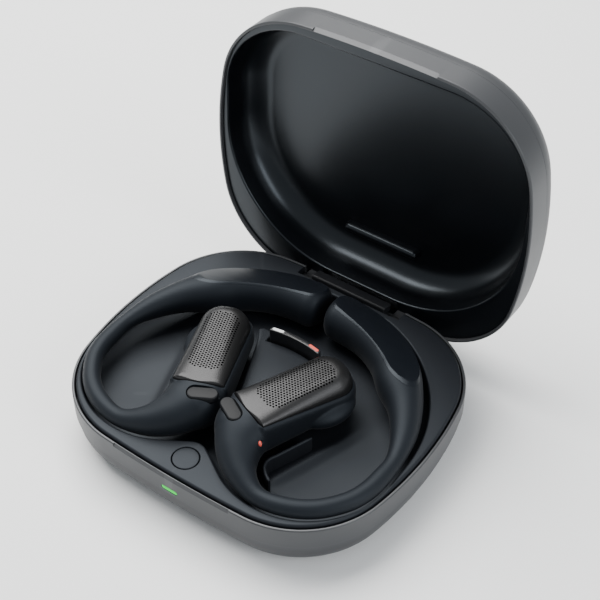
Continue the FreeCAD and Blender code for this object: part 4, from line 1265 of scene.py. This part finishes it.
def perforation_tree(material):
    """Node tree that drills a rounded field of holes through a plate."""
    tree = bpy.data.node_groups.new("sound_holes", "GeometryNodeTree")
    tree.is_modifier = True
    sockets = tree.interface
    sockets.new_socket("Plate", in_out="INPUT", socket_type="NodeSocketGeometry")
    for name in ("Hole diameter", "Hole pitch", "Half width", "Half length", "Corner", "Height"):
        sockets.new_socket(name, in_out="INPUT", socket_type="NodeSocketFloat")
    sockets.new_socket("Middle", in_out="INPUT", socket_type="NodeSocketVector")
    for name in ("Columns", "Rows"):
        sockets.new_socket(name, in_out="INPUT", socket_type="NodeSocketInt")
    sockets.new_socket("Plate", in_out="OUTPUT", socket_type="NodeSocketGeometry")
    source = tree.nodes.new("NodeGroupInput").outputs
    link = tree.links.new

    def math_node(operation, a, b=None):
        made = tree.nodes.new("ShaderNodeMath")
        made.operation = operation
        for socket, value in zip(made.inputs, (a, b)):
            if value is None:
                continue
            if isinstance(value, (int, float)):
                socket.default_value = value
            else:
                link(value, socket)
        return made.outputs[0]

    grid = tree.nodes.new("GeometryNodeMeshGrid")
    across = math_node("MULTIPLY", source["Hole pitch"], math.sqrt(0.75))
    columns, rows = source["Columns"], source["Rows"]
    link(math_node("MULTIPLY", across, math_node("SUBTRACT", columns, 1)), grid.inputs["Size X"])
    link(math_node("MULTIPLY", source["Hole pitch"], math_node("SUBTRACT", rows, 1)), grid.inputs["Size Y"])
    link(columns, grid.inputs["Vertices X"])
    link(rows, grid.inputs["Vertices Y"])
    place = tree.nodes.new("ShaderNodeSeparateXYZ")
    link(tree.nodes.new("GeometryNodeInputPosition").outputs[0], place.inputs[0])
    column = math_node("ROUND", math_node("ADD", math_node("DIVIDE", place.outputs[0], across), 100.5))
    odd = math_node("MODULO", column, 2)
    shift = math_node(
        "MULTIPLY", math_node("SUBTRACT", odd, 0.5), math_node("MULTIPLY", source["Hole pitch"], 0.5)
    )
    offset = tree.nodes.new("ShaderNodeCombineXYZ")
    link(shift, offset.inputs[1])
    stagger = tree.nodes.new("GeometryNodeSetPosition")
    link(grid.outputs["Mesh"], stagger.inputs["Geometry"])
    link(offset.outputs[0], stagger.inputs["Offset"])
    spot = tree.nodes.new("ShaderNodeSeparateXYZ")
    link(tree.nodes.new("GeometryNodeInputPosition").outputs[0], spot.inputs[0])
    reach = []
    for axis, limit in ((0, "Half width"), (1, "Half length")):
        away = math_node("ABSOLUTE", spot.outputs[axis])
        straight = math_node("SUBTRACT", source[limit], source["Corner"])
        reach.append(math_node("POWER", math_node("MAXIMUM", math_node("SUBTRACT", away, straight), 0.0), 2))
    far = math_node("SQRT", math_node("ADD", *reach))
    trim = tree.nodes.new("GeometryNodeDeleteGeometry")
    link(stagger.outputs[0], trim.inputs["Geometry"])
    link(math_node("GREATER_THAN", far, source["Corner"]), trim.inputs["Selection"])
    move = tree.nodes.new("GeometryNodeTransform")
    link(trim.outputs[0], move.inputs["Geometry"])
    link(source["Middle"], move.inputs["Translation"])
    drill = tree.nodes.new("GeometryNodeMeshCylinder")
    drill.inputs["Vertices"].default_value = 10
    link(math_node("MULTIPLY", source["Hole diameter"], 0.5), drill.inputs["Radius"])
    link(source["Height"], drill.inputs["Depth"])
    spread = tree.nodes.new("GeometryNodeInstanceOnPoints")
    link(move.outputs[0], spread.inputs["Points"])
    link(drill.outputs["Mesh"], spread.inputs["Instance"])
    real = tree.nodes.new("GeometryNodeRealizeInstances")
    link(spread.outputs[0], real.inputs[0])
    bore = tree.nodes.new("GeometryNodeMeshBoolean")
    bore.operation = "DIFFERENCE"
    bore.solver = "EXACT"
    link(source["Plate"], bore.inputs["Mesh 1"])
    link(real.outputs[0], bore.inputs["Mesh 2"])
    whole = tree.nodes.new("GeometryNodeRealizeInstances")
    link(bore.outputs["Mesh"], whole.inputs[0])
    paint = tree.nodes.new("GeometryNodeSetMaterial")
    paint.inputs["Material"].default_value = material
    link(whole.outputs[0], paint.inputs["Geometry"])
    link(paint.outputs[0], tree.nodes.new("NodeGroupOutput").inputs[0])
    return tree


def set_inputs(modifier, **values):
    """Set a Geometry Nodes modifier's inputs by the identifiers of its sockets."""
    for item in modifier.node_group.interface.items_tree:
        key = item.name.lower().replace(" ", "_")
        if item.in_out == "INPUT" and key in values:
            modifier[item.identifier] = values[key]


class EARPHONES_OT_grille_plates(bpy.types.Operator):
    """Brushed plates over the speakers, drilled with the sound holes"""

    bl_idname = "earphones.grille_plates"
    bl_label = "Grille plates"

    def execute(self, context):
        settings = ear_set()
        brushed = {}
        for side, streak in (("right", -math.degrees(HEAD_TURN)), ("left", math.degrees(HEAD_TURN))):
            brushed[side] = finish(
                "brushed_plate_" + side, settings.plate_colour, 0.36, metal=0.75, grain=0.16, bump=0.12,
                mottle=0.10, streak=streak, edge=0.3
            )
        plate = form("right_grille", plate_blank())
        drill = plate.modifiers.new("sound_holes", "NODES")
        drill.node_group = perforation_tree(brushed["right"])
        pitch = settings.hole_pitch
        set_inputs(
            drill, hole_diameter=settings.hole_size, hole_pitch=pitch, half_width=3.75 * MM,
            half_length=8.8 * MM, corner=2.6 * MM, height=12.0 * MM,
            middle=(0.25 * MM, 8.6 * MM, 20.0 * MM), columns=17, rows=29
        )
        bake(plate)
        plate.data.transform(Matrix.Translation((
            HEAD_ORIGIN[0] * MM, HEAD_ORIGIN[1] * MM, 0
        )) @ Matrix.Rotation(HEAD_TURN, 4, "Z"))
        twin = copy_mirrored(plate, "left_grille")
        for side, piece in (("right", plate), ("left", twin)):
            dress(
                piece, brushed[side], side + "_earphone", "plate_gunmetal", side + "_grille_plate", sharp=35
            )
        return {"FINISHED"}


class EARPHONES_OT_function_keys(bpy.types.Operator):
    """Pill-shaped key on each neck"""

    bl_idname = "earphones.function_keys"
    bl_label = "Function keys"

    def execute(self, context):
        levels = [(0.0, 20.7)] + [(-i, 22.0 - d) for i, d in rounding(0.35, 4)]
        right = tower("right_key_cap", pill_loop(KEY_SPOT, 6.8, 3.2, KEY_TURN), levels)
        left = copy_mirrored(right, "left_key_cap")
        material = finish("key_satin", (0.0042, 0.0050, 0.0065), 0.52, specular=0.22, grain=0.1, bump=0.04)
        for side, piece in (("right", right), ("left", left)):
            dress(piece, material, side + "_key", "key_dark", side + "_function_key")
        return {"FINISHED"}


class EARPHONES_OT_fixed_parts(bpy.types.Operator):
    """Finishes of the parts that keep their frame shapes"""

    bl_idname = "earphones.fixed_parts"
    bl_label = "Fixed parts"

    def execute(self, context):
        steel = finish("plain_steel", (0.45, 0.45, 0.46), 0.3, metal=1.0, grain=0.2, bump=0.05)
        gold = finish("gold_contact", (0.83, 0.58, 0.20), 0.25, metal=1.0, grain=0.2, bump=0.03)
        board = finish("solder_mask", (0.01, 0.10, 0.05), 0.4, grain=0.6, bump=0.05)
        foil = finish("cell_foil", (0.5, 0.51, 0.52), 0.35, metal=0.9, grain=0.5, bump=0.1)
        mesh = finish("sound_mesh", (0.004, 0.004, 0.004), 0.8, grain=0.12, bump=0.3)
        coated = finish("coated_zinc", (0.03, 0.031, 0.034), 0.4, metal=0.4, grain=0.1, bump=0.05)
        white = finish("mark_white", (0.72, 0.73, 0.74), 0.4, grain=0.1, mottle=0.03)
        red = finish("mark_red", (0.62, 0.045, 0.03), 0.45, mottle=0.05, grain=0.1)
        dark = dark_plastic()
        finishes = {
            "strip_mark_white": white, "strip_mark_red": red, "usb_c_shell": steel, "hinge_pin": steel,
            "base_screws": steel,
            "usb_c_tongue": dark, "button_switch": dark, "case_board": board, "case_battery": foil,
            "tray_magnets": steel,
            "base_latch_magnets": steel, "lid_latch_magnets": steel, "hinge_knuckle": coated,
            "lid_hinge_arms": coated,
            "left_charge_pins": gold, "right_charge_pins": gold,
        }
        ear = {
            "acoustic_mesh": mesh, "speaker_driver": dark, "head_board": board, "microphone": steel,
            "charge_contacts": gold,
            "key_switch": dark, "hook_wire": steel, "battery_cell": foil,
        }
        for side in ("left", "right"):
            finishes.update({side + "_" + part: material for part, material in ear.items()})
        for name, material in finishes.items():
            part = frame["nodes"][name]
            part.data.materials.clear()
            part.data.materials.append(material)
        return {"FINISHED"}


# ---------------------------------------------------------------- stage
class EARPHONES_OT_stage(bpy.types.Operator):
    """Pale floor, soft studio light and the camera"""

    bl_idname = "earphones.stage"
    bl_label = "Stage"

    def execute(self, context):
        settings = stage_set()
        scene = bpy.context.scene
        half = 1400.0
        floor = form(
            "table_top",
            ([(-half, -half, 0), (half, -half, 0), (half, half, 0), (-half, half, 0)], [(0, 1, 2, 3)])
        )
        floor.data.materials.append(finish(
            "pale_table", settings.floor_colour, 0.55, grain=0.8, bump=0.02, mottle=0.008, patch=160.0,
            specular=0.3
        ))
        world = scene.world or bpy.data.worlds.new("studio")
        scene.world = world
        world.use_nodes = True
        sky = world.node_tree.nodes["Background"]
        sky.inputs["Color"].default_value = (0.93, 0.97, 1.0, 1.0)
        sky.inputs["Strength"].default_value = settings.sky
        for name, spot, aim, size, power, tone in (
            (
                "overhead_light", (-0.30, 0.16, 0.60), (0.0, 0.0, 0.02), (0.7, 0.55), settings.key_power,
                (1.0, 0.99, 0.97)
            ),
            (
                "window_light", (0.75, -0.05, 0.42), (0.0, 0.0, 0.02), (0.35, 0.6), settings.side_power,
                (0.96, 0.98, 1.0)
            ),
        ):
            data = bpy.data.lights.new(name, "AREA")
            data.shape = "RECTANGLE"
            data.size, data.size_y = size
            data.energy = power
            data.color = tone
            lamp = bpy.data.objects.new(name, data)
            lamp.location = spot
            lamp.rotation_euler = (Vector(aim) - Vector(spot)).to_track_quat("-Z", "Y").to_euler()
            scene.collection.objects.link(lamp)
        data = bpy.data.cameras.new("camera")
        data.lens = 78.9
        data.sensor_width = 36.0
        data.clip_start, data.clip_end = 0.01, 20.0
        camera = bpy.data.objects.new("camera", data)
        azimuth, elevation, roll = math.radians(35.45), math.radians(43.61), math.radians(-0.13)
        back = Vector((
            math.sin(azimuth) * math.cos(elevation), -math.cos(azimuth) * math.cos(elevation),
            math.sin(elevation)
        ))
        right = Vector((math.cos(azimuth), math.sin(azimuth), 0.0))
        up = back.cross(right)
        turn = Matrix((right, up, back)).transposed() @ Matrix.Rotation(roll, 3, "Z")
        camera.matrix_world = Matrix.Translation(Vector((121.01, -158.01, 226.15)) * MM) @ turn.to_4x4()
        scene.collection.objects.link(camera)
        scene.camera = camera
        return {"FINISHED"}


STEPS = (
    EARPHONES_OT_stage,
    EARPHONES_OT_case_pan,
    EARPHONES_OT_case_band,
    EARPHONES_OT_status_light,
    EARPHONES_OT_deck,
    EARPHONES_OT_deck_fittings,
    EARPHONES_OT_case_button,
    EARPHONES_OT_hinge,
    EARPHONES_OT_lid_band,
    EARPHONES_OT_lid_cover,
    EARPHONES_OT_lid_bowl,
    EARPHONES_OT_skins,
    EARPHONES_OT_grille_plates,
    EARPHONES_OT_function_keys,
    EARPHONES_OT_fixed_parts,
)


class EARPHONES_PT_panel(bpy.types.Panel):
    """Steps that build the earphones and their case"""

    bl_idname = "EARPHONES_PT_panel"
    bl_label = "Hook earphones"
    bl_space_type = "VIEW_3D"
    bl_region_type = "UI"
    bl_category = "Earphones"

    def draw(self, context):
        for group in (case_set(), ear_set(), stage_set()):
            box = self.layout.box()
            for key in group.__annotations__:
                box.prop(group, key)
        for step in STEPS:
            self.layout.operator(step.bl_idname)


GROUPS = (("hook_case", CaseSettings), ("hook_earphones", EarphoneSettings), ("hook_stage", StageSettings))


def register():
    for name, group in GROUPS:
        bpy.utils.register_class(group)
        setattr(bpy.types.Scene, name, PointerProperty(type=group))
    for item in (*STEPS, EARPHONES_PT_panel):
        bpy.utils.register_class(item)


def unregister():
    for item in (EARPHONES_PT_panel, *STEPS[::-1]):
        bpy.utils.unregister_class(item)
    for name, group in GROUPS[::-1]:
        delattr(bpy.types.Scene, name)
        bpy.utils.unregister_class(group)


def main():
    register()
    for step in STEPS:
        group, name = step.bl_idname.split(".")
        getattr(getattr(bpy.ops, group), name)()
    bpy.context.view_layer.update()


if __name__ == "__main__":
    main()
